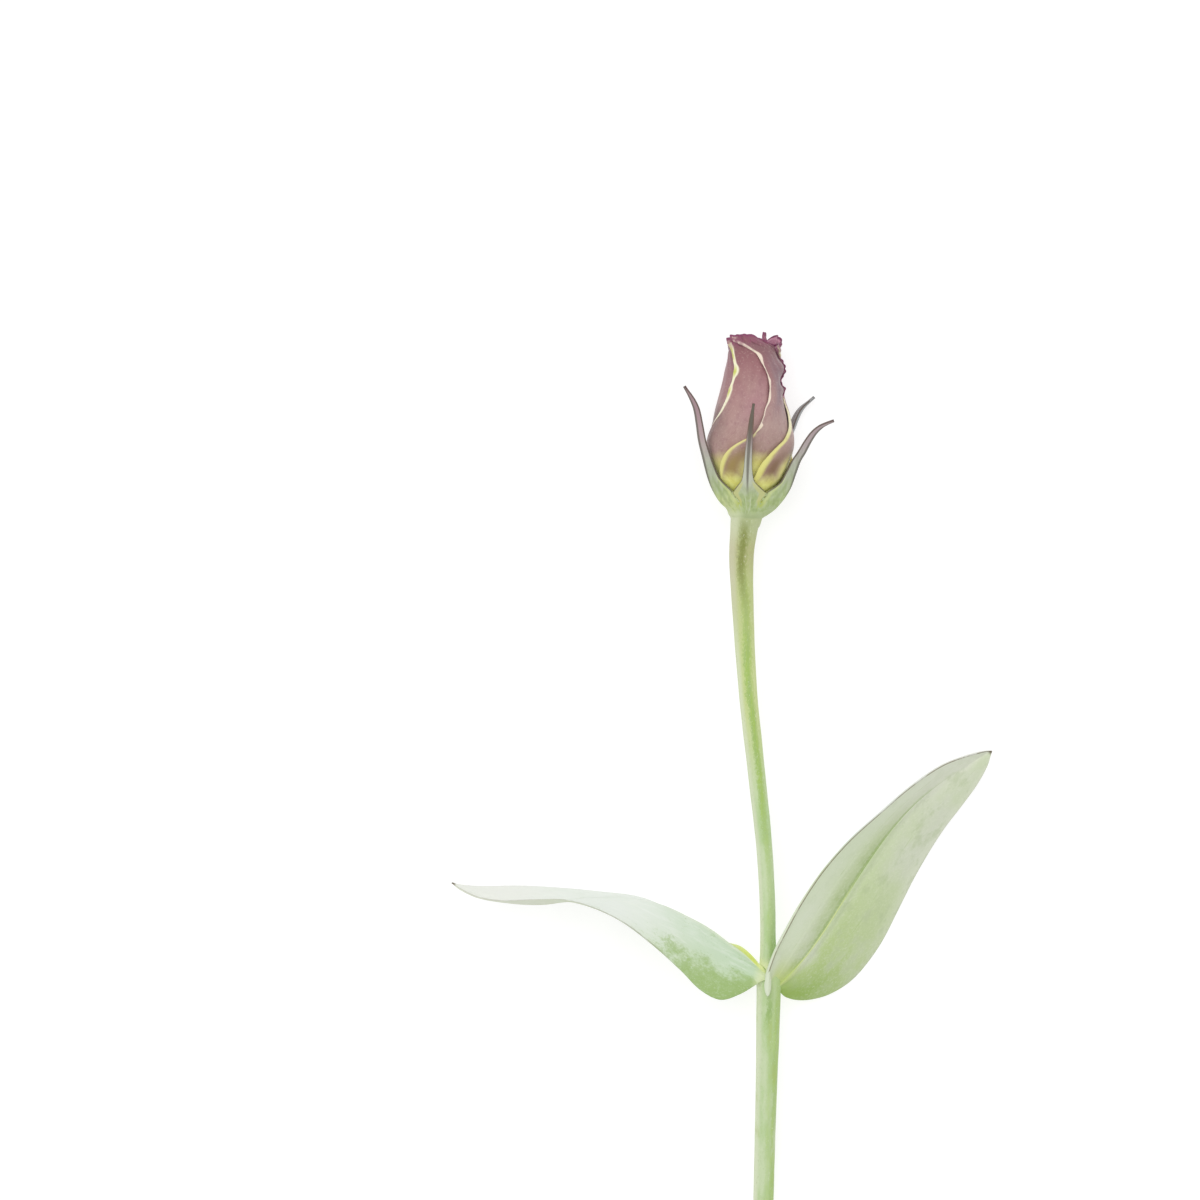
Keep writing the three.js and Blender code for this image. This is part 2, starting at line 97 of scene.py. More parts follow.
RIGHT_RIGHT = [
    (6, -3.6, 8), (7.5, -5.1, 6), (10.6, -6, 3.6), (14.2, -5.8, 2), (17.8, -4.7, 1.1),
    (21.9, -2.2, 0.65), (25.2, 1.2, 0.45), (29, 6.6, 0.4), (32.6, 13.6, 0.4), (36.1, 20.6, 0.6),
    (39.6, 26.8, 1.1), (43, 32.1, 1.8), (46.5, 36.8, 3), (49.8, 41.5, 4.3), (52.1, 45.8, 5.4),
    (53.1, 49.1, 6),
]

# How much of the right leaf's width is its rolled rim.
RIM_SHARE = 0.05

# Bud: distance of its outside from the axis, by height.
BUD_PROFILE = [
    (-0.6, 3), (1, 5.1), (4.2, 7.45), (8.6, 9.3), (13.2, 10.05), (18.3, 8.85), (23, 7.55), (27.5, 6.7),
    (32, 6.25), (36, 5.85), (38.5, 5),
]
# Each outer petal's free edge, by height, as a turn from the petal's own place. The first faces up, and the
# others follow it round.
FREE_EDGES = [
    [(-0.6, -88), (3, -74), (5.1, -63.9), (8.1, -51.5), (9.9, -42.6), (11.7, -30.6), (13.2, -17),
     (14.3, -5), (15.2, 2.2), (17.4, 11), (18.7, 15.5), (20.7, 20), (22.7, 28), (25.3, 33),
     (27.1, 32.5), (28.6, 27.5), (31, 14.8), (32.7, 4.6), (33.6, -9.7), (34.4, -24), (35, -38),
     (35.7, -54), (38.5, -72)],
    [(-0.6, -88), (3, -77), (5.5, -67.5), (8.1, -60), (10.6, -48.4), (12.5, -37.5), (13.9, -27),
     (15, -20.6), (17.2, -7), (19.4, 1), (22.2, 9), (25, 16), (27.5, 18), (31, 19), (32.2, 17),
     (33.1, 8), (34.1, -12), (35, -25), (36, -34), (38.5, -50)],
    [(-0.6, -88), (3, -79), (6.2, -68), (8.6, -52), (13, -20), (16.1, 8), (19.4, 23), (25.5, 37),
     (28.5, 29), (32.6, 5), (34.4, -22), (35.6, -52), (38.5, -66)],
    [(-0.6, -88), (3, -76), (6.2, -66), (8.6, -50), (13, -22), (16.1, 4), (19.4, 20), (25.5, 34),
     (28.5, 31), (32.6, 8), (34.4, -18), (35.6, -40), (38.5, -60)],
    [(-0.6, -88), (3, -79), (6.2, -68), (8.6, -52), (13, -26), (15.5, -13), (17.2, -5), (19.4, 8.5),
     (20.7, 13.5), (22.8, 18.5), (24.2, 20), (26.4, 25), (27.9, 26.5), (29.5, 28.5), (30.6, 25),
     (33, 15), (34.8, 10), (35.6, 6), (38.5, -3)],
]
# Height of each outer petal's crest, by the same turn, which is taken at CREST_LEVEL.
CREST_LEVEL = 36
CRESTS = [
    [(-60, 36.8), (-30, 37.0), (4, 37.2), (13, 36.5), (24, 35.9), (40, 35.4), (56, 34.7), (75, 33.8),
     (90, 33.2)],
    [(-40, 35.3), (0, 35.4), (30, 35.3), (90, 35.9)],
    [(-80, 35.0), (-60, 35.6), (-50, 36.7), (-40, 37.2), (-14, 37.2), (6, 36.2), (30, 36.0),
     (90, 36.4)],
    [(-60, 36.4), (0, 36.9), (90, 36.2)],
    [(-10, 36.4), (20, 36.6), (45, 36.9), (100, 36.5), (112, 35.6), (150, 35.3)],
]
# Where an outer petal's tip flares out: height and turn of its middle, its reach in turn, and how far.
FLARES = [
    (36.4, -34, 12, 0.3), (35.2, 6, 11, 0.55), (36.6, -40, 26, 0.3), (36.4, 20, 30, 0.2),
    (36.6, 22, 12, 0.1),
]
# How far the free edge is frilled, or pressed onto the petal below it.
FRILL_SHARES = [0.2, 1.0, 0.5, 0.15, 0.15]
# How far the tip of each outer petal is crimped.
CRIMP_SHARES = [1, 0.8, 0.35, 1, 1]
# Width of the pale border on each outer petal's free edge, by height, and how cream it is. The two petals
# at the back have the same one.
FAR_BORDER = [(-0.6, 1.2), (14, 1.0), (18, 0.6), (22, 0.3), (38.5, 0.2)]
BORDERS = [
    [(-0.6, 1.45), (9, 1.4), (12, 1.45), (14.3, 1.35), (15.3, 0.4), (16.2, 0.7), (17, 0.9),
     (17.7, 0.25), (19.4, 0.2), (21, 0.2), (22.4, 0.45), (24, 0.45), (25.2, 0.2), (27, 0.5),
     (28.2, 0.2), (30.2, 0.22), (31.4, 0.7), (32.6, 1.1), (33.8, 1.0), (35, 1.1), (36.5, 1.7),
     (38.5, 1.7)],
    [(-0.6, 1.1), (9, 1.1), (14, 1.35), (17, 1.35), (18.6, 1.0), (20, 0.65), (22, 0.2), (32, 0.15),
     (33.4, 1.1), (35, 0.8), (38.5, 0.6)],
    FAR_BORDER,
    FAR_BORDER,
    [(-0.6, 1.2), (12, 0.9), (16, 0.7), (19, 0.95), (22, 1.1), (23.6, 1.25), (24.8, 1.2), (25.8, 0.85),
     (27.2, 0.9), (28.2, 1.4), (29.4, 1.35), (30.4, 0.95), (32, 1.0), (35, 1.1), (36.5, 0.5),
     (38.5, 0.4)],
]
# Where each outer petal's free edge is dark magenta.
MAGENTA = [
    [(37, 0), (38.5, 0)],
    [(23.2, 0), (24.4, 1), (31.6, 1), (32.6, 0), (38.5, 0)],
    [(25, 0), (27, 1), (38.5, 1)],
    [(29, 0), (31, 1), (38.5, 1)],
    [(36, 0), (37.5, 1), (38.5, 1)],
]
BORDER_CREAM = [(-0.6, 0), (9, 0.05), (12, 0.15), (14.5, 0.3), (16.5, 0.85), (18, 1), (38.5, 1)]
# Yellow-green blotches at the very edge of the last outer petal.
BLOTCHES = (33.4, 32.3, 28.7, 24.3)
# How far round an outer petal reaches, in degrees, by height.
PETAL_SPAN = [(-0.6, 68), (2, 82), (8, 128), (16, 142), (30, 140), (38.5, 128)]
# How far the tips curl in towards the axis, and the frill of a free edge stands out, by height.
LIP_CURL = [(-0.6, 0), (33, 0), (36, 0.15), (38.5, 0.8)]
FRILL = [
    (-0.6, 0), (20, 0), (22.8, -0.25), (24.2, -0.15), (25.2, 0.55), (26.2, 0.05), (27, -0.15),
    (27.7, 0.1), (28.4, 0.75), (29.3, 1.1), (30.3, 1.05), (31.1, 0.8), (32.1, 0.25), (33.2, 0),
    (34.5, 0.3), (35.2, 0.6), (38.5, 0.4),
]
# Heights of the whorls' feet and the inner one's tips, how deep it sits, its free edge and its reach.
OUTER_FOOT = -0.4
INNER_FOOT = 1.6
INNER_TOP = 36.9
INNER_DEPTH = 2.95
INNER_EDGE = [(1.6, -80), (8, -55), (16, -15), (26, 15), (38.5, 30)]
INNER_SPAN = [(1.6, 60), (6, 88), (16, 108), (28, 90), (34, 66), (38.5, 50)]
PETALS = 5
WHORL_TURN = 360 / PETALS

# Calyx: height and distance from the axis of the cup between its lobes, and along their keels.
CUP_PROFILE = [(-3.4, 3.15), (-2.9, 3.6), (-2, 4.1), (-1, 4.75), (0, 5.45), (1.1, 6.05), (2.3, 6.65)]
KEEL_FOOT = [(-3.4, 3.15), (-2.9, 3.6), (-2, 4.25), (-1, 5.15), (0, 6.05), (1.1, 6.95), (2.3, 7.75)]
# How much of a lobe's sheet is the cup below it.
CUP_SHARE = 0.28
# Each lobe: its turn, how far its tip turns aside, the turns of its two borders low and high on the cup,
# its width and fold against the tables below, how far and from which height its foot swells, its keel.
LOBES = [
    {"turn": -5.6, "tilt": 5.2, "low": (-24, 21), "high": (-35, 29), "wide": 0.82, "fold": 0.42,
     "swell": 0.1, "rise": -1.5, "keel": [(4, 9.0), (9.5, 11), (16, 12.2), (21.4, 13.4)]},
    {"turn": 72, "tilt": 0, "low": (21, 106), "high": (29, 106), "wide": 1.12, "fold": 0.8,
     "swell": 0.5, "rise": -3.3,
     "keel": [(4, 9.15), (7.3, 10.3), (9.6, 11.15), (11.4, 12.2), (13.9, 13.5), (15.8, 14.75), (17.1, 16.1),
              (17.9, 17.5), (18.4, 18.7)]},
    {"turn": 142, "tilt": -25, "low": (106, 180), "high": (106, 180), "wide": 1.1, "fold": 0.9,
     "swell": 0.4, "rise": -1.5, "keel": [(4, 9.2), (10, 11.2), (16.5, 12.7), (21, 13.6), (24, 15.6)]},
    {"turn": 216, "tilt": 4, "low": (180, 252), "high": (180, 252), "wide": 1.0, "fold": 0.7,
     "swell": 0.3, "rise": -1.5, "keel": [(4, 9.1), (9.5, 10.4), (15, 10.6), (20.6, 9.8)]},
    {"turn": 288, "tilt": 0, "low": (252, 336), "high": (252, 325), "wide": 1.15, "fold": 0.7,
     "swell": 0.5, "rise": -1.6,
     "keel": [(4, 9.15), (6.4, 10.05), (9.8, 11.05), (13.5, 12.1), (17, 12.7), (20.5, 13.45), (23.2, 14.7),
              (25.2, 15.9)]},
]
# Width and fold of a lobe, by its share of the way from the cup to its tip.
LOBE_WIDTH = [
    (0.0, 6.2), (0.08, 4.8), (0.15, 3.3), (0.25, 2.4), (0.4, 2.0), (0.6, 1.65), (0.85, 1.15), (1, 0.1),
]
LOBE_FOLD = [(0.0, 2.0), (0.2, 2.0), (0.35, 1.65), (0.6, 1.3), (0.85, 0.9), (1, 0.1)]
LOBE_PINKNESS = (0.7, 0.75, 0.0, 0.5, 1.0)

# Pistil, and one stamen's filament: height and distance from the axis.
PISTIL = [
    (-0.5, 0.3), (-0.5, 1.1), (1, 1), (5, 0.9), (6.6, 1.7), (8.5, 2.1), (11, 1.9), (13, 0.8),
    (14.5, 0.5), (21.5, 0.45), (21.6, 0.2),
]
FILAMENT = [(1.9, 1.8), (4.6, 1.75), (6.4, 2.5), (9, 3.1), (13, 2.8), (15, 2.4)]
FILAMENT_RADIUS = 0.3
STIGMA_HEIGHT = 22
STIGMA_RADIUS = 0.9
# An anther's middle, as height and distance, and its three half sizes.
ANTHER_MIDDLE = (16.4, 2.3)
ANTHER_SIZE = (0.72, 1.75, 0.6, 1)
# Section of the ring that joins the filaments' feet.
STAMEN_RING = [(1.9, 1.45), (1.9, 2.15), (2.6, 2.15), (2.6, 1.45)]

# How finely each sheet is divided, across and lengthwise, and a turned piece all round.
STEM_GRID = (48, 420)
LEAF_GRID = (110, 230)
LOBE_GRID = (24, 130)
OUTER_GRID = (96, 150)
INNER_GRID = (64, 150)
FILAMENT_GRID = (10, 24)
SPIN_STEPS = 28

# Stage: each lamp's name, place and size in metres, and power in watts. The camera looks straight down.
WHITE = (1, 1, 1, 1)
TABLE_HALF = 2.5
TABLE_GLOW = 0.72
SKY_STRENGTH = 0.64
LAMPS_FACE = (0, 0.02, 0)
LAMPS = [("key", (-0.35, 0.55, 1.6), 1.2, 11.5), ("fill", (1.2, -0.6, 1.3), 1.4, 3.0)]
CAMERA_PLACE = (-33.44, 82.5, 1110.0)
CAMERA_LENS = 150


def srgb(red, green, blue):
    """A colour given from 0 to 255, as the linear colour that shaders use."""
    def linear(level):
        level /= 255
        return level / 12.92 if level <= 0.04045 else ((level + 0.055) / 1.055) ** 2.4
    return linear(red), linear(green), linear(blue), 1.0


def colour_property(name, description, default):
    return bpy.props.FloatVectorProperty(
        name=name, description=description, subtype="COLOR", size=4, min=0, max=1, default=default)


def length_property(name, description, default):
    return bpy.props.FloatProperty(
        name=name, description=description, unit="LENGTH", subtype="DISTANCE", default=default, min=0)


class FlowerSizes(bpy.types.PropertyGroup):
    """Sizes of the flower's fine details."""
    leaf_thickness: length_property("Leaf thickness", "Thickness of a leaf's blade", 0.5 * MM)
    rib_height: length_property("Rib height", "How far the middle rib stands out", 0.28 * MM)
    margin_roll: length_property("Margin roll", "Radius of the right leaf's rolled margin", 0.24 * MM)
    petal_thickness: length_property("Petal thickness", "Thickness of a petal", 0.45 * MM)
    petal_pitch: length_property("Petal pitch", "From one wrapped petal to the next", 0.95 * MM)
    ruffle: length_property("Ruffle", "Depth of the ruffles at the petals' tips", 0.42 * MM)
    calyx_thickness: length_property("Calyx thickness", "Thickness of the calyx's lobes", 0.7 * MM)


class FlowerColours(bpy.types.PropertyGroup):
    """Colours of the flower."""
    stem_green: colour_property("Stem green", "Green where the bloom is rubbed off", srgb(158, 186, 108))
    stem_blush: colour_property("Stem blush", "Brownish tinge below the calyx", srgb(176, 172, 126))
    leaf_green: colour_property("Leaf green", "Green that shows through the bloom", srgb(150, 180, 100))
    leaf_bloom: colour_property("Leaf bloom", "Bluish-white bloom of the upper face", srgb(232, 238, 230))
    leaf_back: colour_property("Leaf back", "Grey-green of the lower face", srgb(206, 213, 190))
    leaf_edge: colour_property("Leaf edge", "Brownish line along the margin", srgb(128, 120, 88))
    rib: colour_property("Rib", "Pale yellow-green of the middle rib", srgb(208, 218, 150))
    petal: colour_property("Petal", "Dusky mauve of the petals", srgb(182, 144, 140))
    petal_rim: colour_property("Petal rim", "Dark magenta of the ruffled rims", srgb(134, 66, 100))
    petal_base: colour_property("Petal base", "Yellow-green at the petals' feet", srgb(237, 238, 142))
    calyx_green: colour_property("Calyx green", "Green of the calyx cup", srgb(166, 184, 122))
    calyx_grey: colour_property("Calyx grey", "Grey-green of the lobes", srgb(172, 178, 154))
    calyx_tip: colour_property("Calyx tip", "Brown of the front lobe's tip", srgb(112, 92, 76))
    pollen: colour_property("Pollen", "Yellow of the anthers", srgb(226, 200, 96))
    floor: colour_property("Floor", "Table top", srgb(164, 164, 164))


# ---- Numbers, lines and frames -----------------------------------------------------------------------


def lerp(a, b, share):
    return a + (b - a) * share


def smoothstep(low, high, x):
    share = min(max((x - low) / (high - low), 0.0), 1.0)
    return share * share * (3 - 2 * share)


def bell(x, middle, width):
    return math.exp(-(((x - middle) / width) ** 2))


def along(pairs, x):
    """A smooth value at x from a short list of (x, value) pairs."""
    last = len(pairs) - 1
    x = min(max(x, pairs[0][0]), pairs[last][0])
    i = min(bisect_right(pairs, (x, math.inf)) - 1, last - 1)

    def slope(k):
        before, after = pairs[max(k - 1, 0)], pairs[min(k + 1, last)]
        return (after[1] - before[1]) / (after[0] - before[0])

    width = pairs[i + 1][0] - pairs[i][0]
    s = (x - pairs[i][0]) / width
    rise = width * (slope(i) * (1 - s) - slope(i + 1) * s) * s * (1 - s)
    return lerp(pairs[i][1], pairs[i + 1][1], s * s * (3 - 2 * s)) + rise


class Line:
    """A smooth line through points, read by its share of their length."""

    def __init__(self, points, even=True):
        self.points = [Vector(point) for point in points]
        self.stops = [0.0]
        for a, b in zip(self.points, self.points[1:]):
            self.stops.append(self.stops[-1] + ((b - a).length if even else 1.0))
        self.stops = [stop / self.stops[-1] for stop in self.stops]

    def slope(self, k):
        low, high = max(k - 1, 0), min(k + 1, len(self.points) - 1)
        return (self.points[high] - self.points[low]) / (self.stops[high] - self.stops[low])

    def __call__(self, share):
        share = min(max(share, 0.0), 1.0)
        i = min(bisect_right(self.stops, share) - 1, len(self.points) - 2)
        width = self.stops[i + 1] - self.stops[i]
        s = (share - self.stops[i]) / width
        rise = (self.slope(i) * (1 - s) - self.slope(i + 1) * s) * (width * s * (1 - s))
        return self.points[i].lerp(self.points[i + 1], s * s * (3 - 2 * s)) + rise


def to_world(point):
    """From the sketch, in millimetres, to the frame, in metres."""
    return (Vector(point) + LEAF_PAIR) * MM


BLOOM_TURN = Matrix.Rotation(BUD_LEAN, 3, "Z")


def from_bloom(height, distance, turn):
    """A point of the bloom, by height, distance from the axis and turn in degrees, in the sketch."""
    angle = math.radians(turn)
    local = Vector((distance * math.sin(angle), height, distance * math.cos(angle)))
    return BUD_BASE + BLOOM_TURN @ local


# ---- Meshes -------------------------------------------------------------------------------------------


def add_sheet(bm, across, lengthwise):
    """Adds a flat square sheet of quads, with its corners at 0 and 1, and returns its vertices."""
    middle = Matrix.Translation((0.5, 0.5, 0))
    made = bmesh.ops.create_grid(bm, x_segments=across, y_segments=lengthwise, size=0.5, matrix=middle)
    return made["verts"]


def grid(across, lengthwise):
    """A new mesh with one such sheet."""
    bm = bmesh.new()
    add_sheet(bm, across, lengthwise)
    return bm


def new_layers(bm, *names):
    """Adds a layer of three values for each name, and the depth layer that thicken reads."""
    return *(bm.verts.layers.float_vector.new(name) for name in names), bm.verts.layers.float.new("depth")


def thicken(bm, thickness):
    """Gives a placed sheet its thickness, times each vertex's own depth, and closes its rim."""
    normal = bm.verts.layers.float_vector.new("square")
    depth = bm.verts.layers.float["depth"]
    skin = bm.verts.layers.float_vector["skin"]
    bm.normal_update()
    for vert in bm.verts:
        vert[normal] = vert.normal
    lower_faces = list(bm.faces)
    made = bmesh.ops.extrude_face_region(bm, geom=lower_faces, use_keep_orig=True)
    upper = {item for item in made["geom"] if isinstance(item, bmesh.types.BMVert)}
    for vert in bm.verts:
        side = 0.5 if vert in upper else -0.5
        vert.co += Vector(vert[normal]) * (side * vert[depth] * thickness)
        vert[skin] = (vert[skin][0], vert[skin][1], 1.0 if vert in upper else 0.0)
    bmesh.ops.reverse_faces(bm, faces=lower_faces)
    bm.verts.layers.float_vector.remove(normal)


def close_holes(bm):
    """Fills every open rim, and returns the new faces."""
    rims = [edge for edge in bm.edges if edge.is_boundary]
    return bmesh.ops.holes_fill(bm, edges=rims, sides=0)["faces"]


def add_outline(bm, pairs, closed):
    """Adds a line through (height, distance) pairs, right of the bloom's axis."""
    points = [bm.verts.new(to_world(from_bloom(height, distance, 90))) for height, distance in pairs]
    ahead = points[1:] + points[:1] if closed else points[1:]
    return points, [bm.edges.new(pair) for pair in zip(points, ahead)]


def spin_round(bm, outline):
    """Turns an outline once round the bloom's axis."""
    bmesh.ops.spin(bm, geom=outline, cent=to_world(BUD_BASE), axis=BLOOM_TURN @ Vector((0, 1, 0)),
                   angle=2 * math.pi, steps=SPIN_STEPS, use_merge=True)


def finish_piece(bm, name, node_names, material):
    """Makes a piece from bm, pressed flat where it meets the table, in place of those nodes."""
    for vert in bm.verts:
        vert.co.z = max(vert.co.z, 0)
    bmesh.ops.recalc_face_normals(bm, faces=bm.faces)
    mesh = bpy.data.meshes.new(name)
    bm.to_mesh(mesh)
    bm.free()
    mesh.shade_smooth()
    mesh.materials.append(material)
    piece = bpy.data.objects.new(name, mesh)
    bpy.context.scene.collection.objects.link(piece)
    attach(piece, "root")
    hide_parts(*node_names)
    return piece


# ---- Materials ----------------------------------------------------------------------------------------


class Value:
    """What a shader node gives. Plain arithmetic on it adds the nodes."""

    def __init__(self, shader, socket):
        self.shader = shader
        self.socket = socket

    def __add__(self, other):
        return self.shader.math("ADD", self, other)

    def __sub__(self, other):
        return self.shader.math("SUBTRACT", self, other)

    def __rsub__(self, other):
        return self.shader.math("SUBTRACT", other, self)

    def __mul__(self, other):
        return self.shader.math("MULTIPLY", self, other)

    def __truediv__(self, other):
        return self.shader.math("DIVIDE", self, other)

    def __abs__(self):
        return self.shader.math("ABSOLUTE", self)

    def most(self, other):
        """The larger of the two."""
        return self.shader.math("MAXIMUM", self, other)

    def fade(self, low, high, start=0.0, end=1.0):
        """Runs smoothly from start to end as this goes from low to high."""
        return self.shader.take("Result", "MapRange", {"interpolation_type": "SMOOTHSTEP"}, Value=self,
                                From_Min=low, From_Max=high, To_Min=start, To_Max=end)

    def band(self, middle, half_width):
        """1 at middle, falling smoothly to 0 half_width away on both sides."""
        return abs(self - middle).fade(0.0, half_width, 1.0, 0.0)

    def tint(self, colour, share):
        """This colour, mixed with that share of another."""
        return self.shader.mix(share, self, colour)


class Shader:
    """Builds one material's nodes."""

    def __init__(self, name, roughness=0.6, specular=0.35, sheen=0.0):
        self.material = bpy.data.materials.new(name)
        self.material.use_nodes = True
        self.tree = self.material.node_tree
        self.surface = self.tree.nodes["Principled BSDF"].inputs
        self.surface["Roughness"].default_value = roughness
        self.surface["Specular IOR Level"].default_value = specular
        self.surface["Sheen Weight"].default_value = sheen

    def put(self, socket, value):
        if isinstance(value, Value):
            self.tree.links.new(value.socket, socket)
        else:
            socket.default_value = value

    def node(self, kind, settings=None, **inputs):
        made = self.tree.nodes.new("ShaderNode" + kind)
        for key, value in (settings or {}).items():
            setattr(made, key, value)
        for key, value in inputs.items():
            self.put(made.inputs[key.replace("_", " ")], value)
        return made

    def take(self, output, kind, settings=None, **inputs):
        """Adds a node and gives the value of one of its outputs."""
        return Value(self, self.node(kind, settings, **inputs).outputs[output])

    def place(self):
        """Object coordinates, in metres."""
        return self.take("Object", "TexCoord")

    def split(self, vector):
        return [Value(self, output) for output in self.node("SeparateXYZ", Vector=vector).outputs]

    def layer(self, name):
        """The three values of a vertex attribute."""
        return self.split(self.take("Vector", "Attribute", {"attribute_name": name}))

    def noise(self, vector, scale, detail=3.0, roughness=0.55):
        """Noise of one scale, or of three, along X, Y and Z."""
        if isinstance(scale, tuple):
            vector, scale = self.take("Vector", "Mapping", Vector=vector, Scale=scale), 1.0
        return self.take("Fac", "TexNoise", Vector=vector, Scale=scale, Detail=detail, Roughness=roughness)

    def math(self, operation, *values):
        made = self.node("Math", {"operation": operation})
        for socket, value in zip(made.inputs, values):
            self.put(socket, value)
        return Value(self, made.outputs["Value"])

    def mix(self, share, a, b):
        made = self.node("Mix", {"data_type": "RGBA"})
        for index, value in ((0, share), (6, a), (7, b)):
            self.put(made.inputs[index], value)
        return Value(self, made.outputs[2])

    def ramp(self, value, stops):
        made = self.node("ValToRGB", Fac=value)
        elements = made.color_ramp.elements
        while len(elements) < len(stops):
            elements.new(1.0)
        for element, (at, colour) in zip(elements, stops):
            element.position = at
            element.color = colour
        return Value(self, made.outputs["Color"])

    def finish(self, colour, height=None, bump=0.3, distance=0.1 * MM, roughness=None):
        self.put(self.surface["Base Color"], colour)
        if roughness is not None:
            self.put(self.surface["Roughness"], roughness)
        if height is not None:
            normal = self.take("Normal", "Bump", Height=height, Strength=bump, Distance=distance)
            self.put(self.surface["Normal"], normal)
        return self.material


def stem_material(colours):
    shader = Shader("stem_waxy_green", roughness=0.55, specular=0.3)
    place = shader.place()
    # From -1 at the stem's left to 1 at its right.
    aside, length, _ = shader.layer("skin")
    streaks = shader.noise(place, (1500, 150, 1500), 4, 0.6)
    patches = shader.noise(place, (260, 80, 260), 4, 0.6)
    flecks = shader.noise(place, (2300, 1300, 2300), 3, 0.7)
    wander = (patches - 0.5) + (flecks - 0.5)
    green = shader.mix(streaks.fade(0.35, 0.65), colours.stem_green, srgb(164, 194, 92))
    low_bloom = shader.mix(patches.fade(0.4, 0.62), srgb(200, 216, 174), srgb(184, 208, 152))
    # Waxy bloom is rubbed off in a streak right of the middle. The left is paler, partly bloom
    # and partly painted light from the left.
    centre = length.fade(20, 95, 0.35, 0.12)
    away = abs(aside + wander - centre)
    streak = away.fade(0.15, 0.62, 1.0, 0.0)
    above = length.fade(18, 46, 0.35, 1.0) * length.fade(108, 84, 0.4, 1.0)
    rubbed = streak * above
    lower = length.fade(4, -6) * aside.fade(0.2, 0.75)
    rubbed = rubbed.most(lower * patches.fade(0.34, 0.5, 0.0, 0.75))
    bloom = low_bloom.tint(srgb(202, 214, 150), length.fade(34, 62))
    bloom = bloom.tint(srgb(222, 229, 200), aside.fade(-0.4, -0.85) * 0.7)
    colour = bloom.tint(green, rubbed * flecks.fade(0.3, 0.55, 0.55, 1.0))
    # Olive and brownish towards the calyx, with one dark streak, and blotches low down.
    olive = length.fade(66, 86)
    colour = colour.tint(srgb(184, 192, 130), olive * 0.5)
    blush = length.band(93.5, 9) * flecks.fade(0.3, 0.6, 0.35, 1.0)
    colour = colour.tint(colours.stem_blush, blush * 0.7)
    # Paler on the left towards the calyx, partly bloom and partly painted light from the left.
    left_bloom_and_light = aside.fade(-0.2, -0.8) * length.fade(74, 88)
    colour = colour.tint(srgb(208, 206, 174), left_bloom_and_light * 0.7)
    top = shader.mix(aside.fade(-0.1, -0.7), srgb(184, 194, 150), srgb(208, 215, 180))
    colour = colour.tint(top, length.fade(93.5, 99.5) * 0.85)
    dark = (aside + wander * 0.9).band(0.0, 0.6)
    dark = dark * (length.fade(77, 92) * length.fade(102, 96))
    colour = colour.tint(srgb(132, 140, 70), dark * 0.95)
    blotch = patches.fade(0.56, 0.66) * length.fade(10, -4)
    colour = colour.tint(srgb(172, 188, 108), blotch * 0.4)
    dots = flecks.fade(0.58, 0.72) * 0.4
    colour = colour.tint(srgb(226, 232, 208), dots)
    dots = flecks.fade(0.42, 0.28) * 0.35
    colour = colour.tint(srgb(142, 164, 92), dots)
    mark = (aside + wander).band(0.08, 0.4) * length.band(-7.4, 5.5)
    colour = colour.tint(srgb(142, 174, 98), mark * 0.8)
    # The pale line where the leaf pair is joined, partly the joint's own colour and partly a painted
    # highlight along the leaf's fold.
    joint = length.band(1.6, 3.0) * aside.fade(0.5, -0.2)
    colour = colour.tint(srgb(230, 236, 182), joint * 0.85)
    cut = length.fade(-68.2, -69.2)
    colour = colour.tint(srgb(150, 160, 100), cut * 0.35)
    height = streaks + flecks * 0.5
    rough = rubbed.fade(0, 1, 0.62, 0.45)
    return shader.finish(colour, height, 0.3, 0.08 * MM, rough)


def leaf_grain(shader, place, turn):
    """Cloudy, blotchy, lined and speckled noise that follows a leaf lying at that turn from +X."""
    turned = shader.take("Vector", "Mapping", Vector=place, Rotation=(0, 0, -turn))
    cloud = shader.noise(turned, (50, 95, 70), 4, 0.55)
    blotch = shader.noise(turned, (210, 380, 300), 5, 0.65)
    lines = shader.noise(turned, (160, 1500, 900), 4, 0.6)
    speckle = shader.noise(turned, (1500, 2600, 2200), 4, 0.75)
    return cloud, blotch, lines, speckle


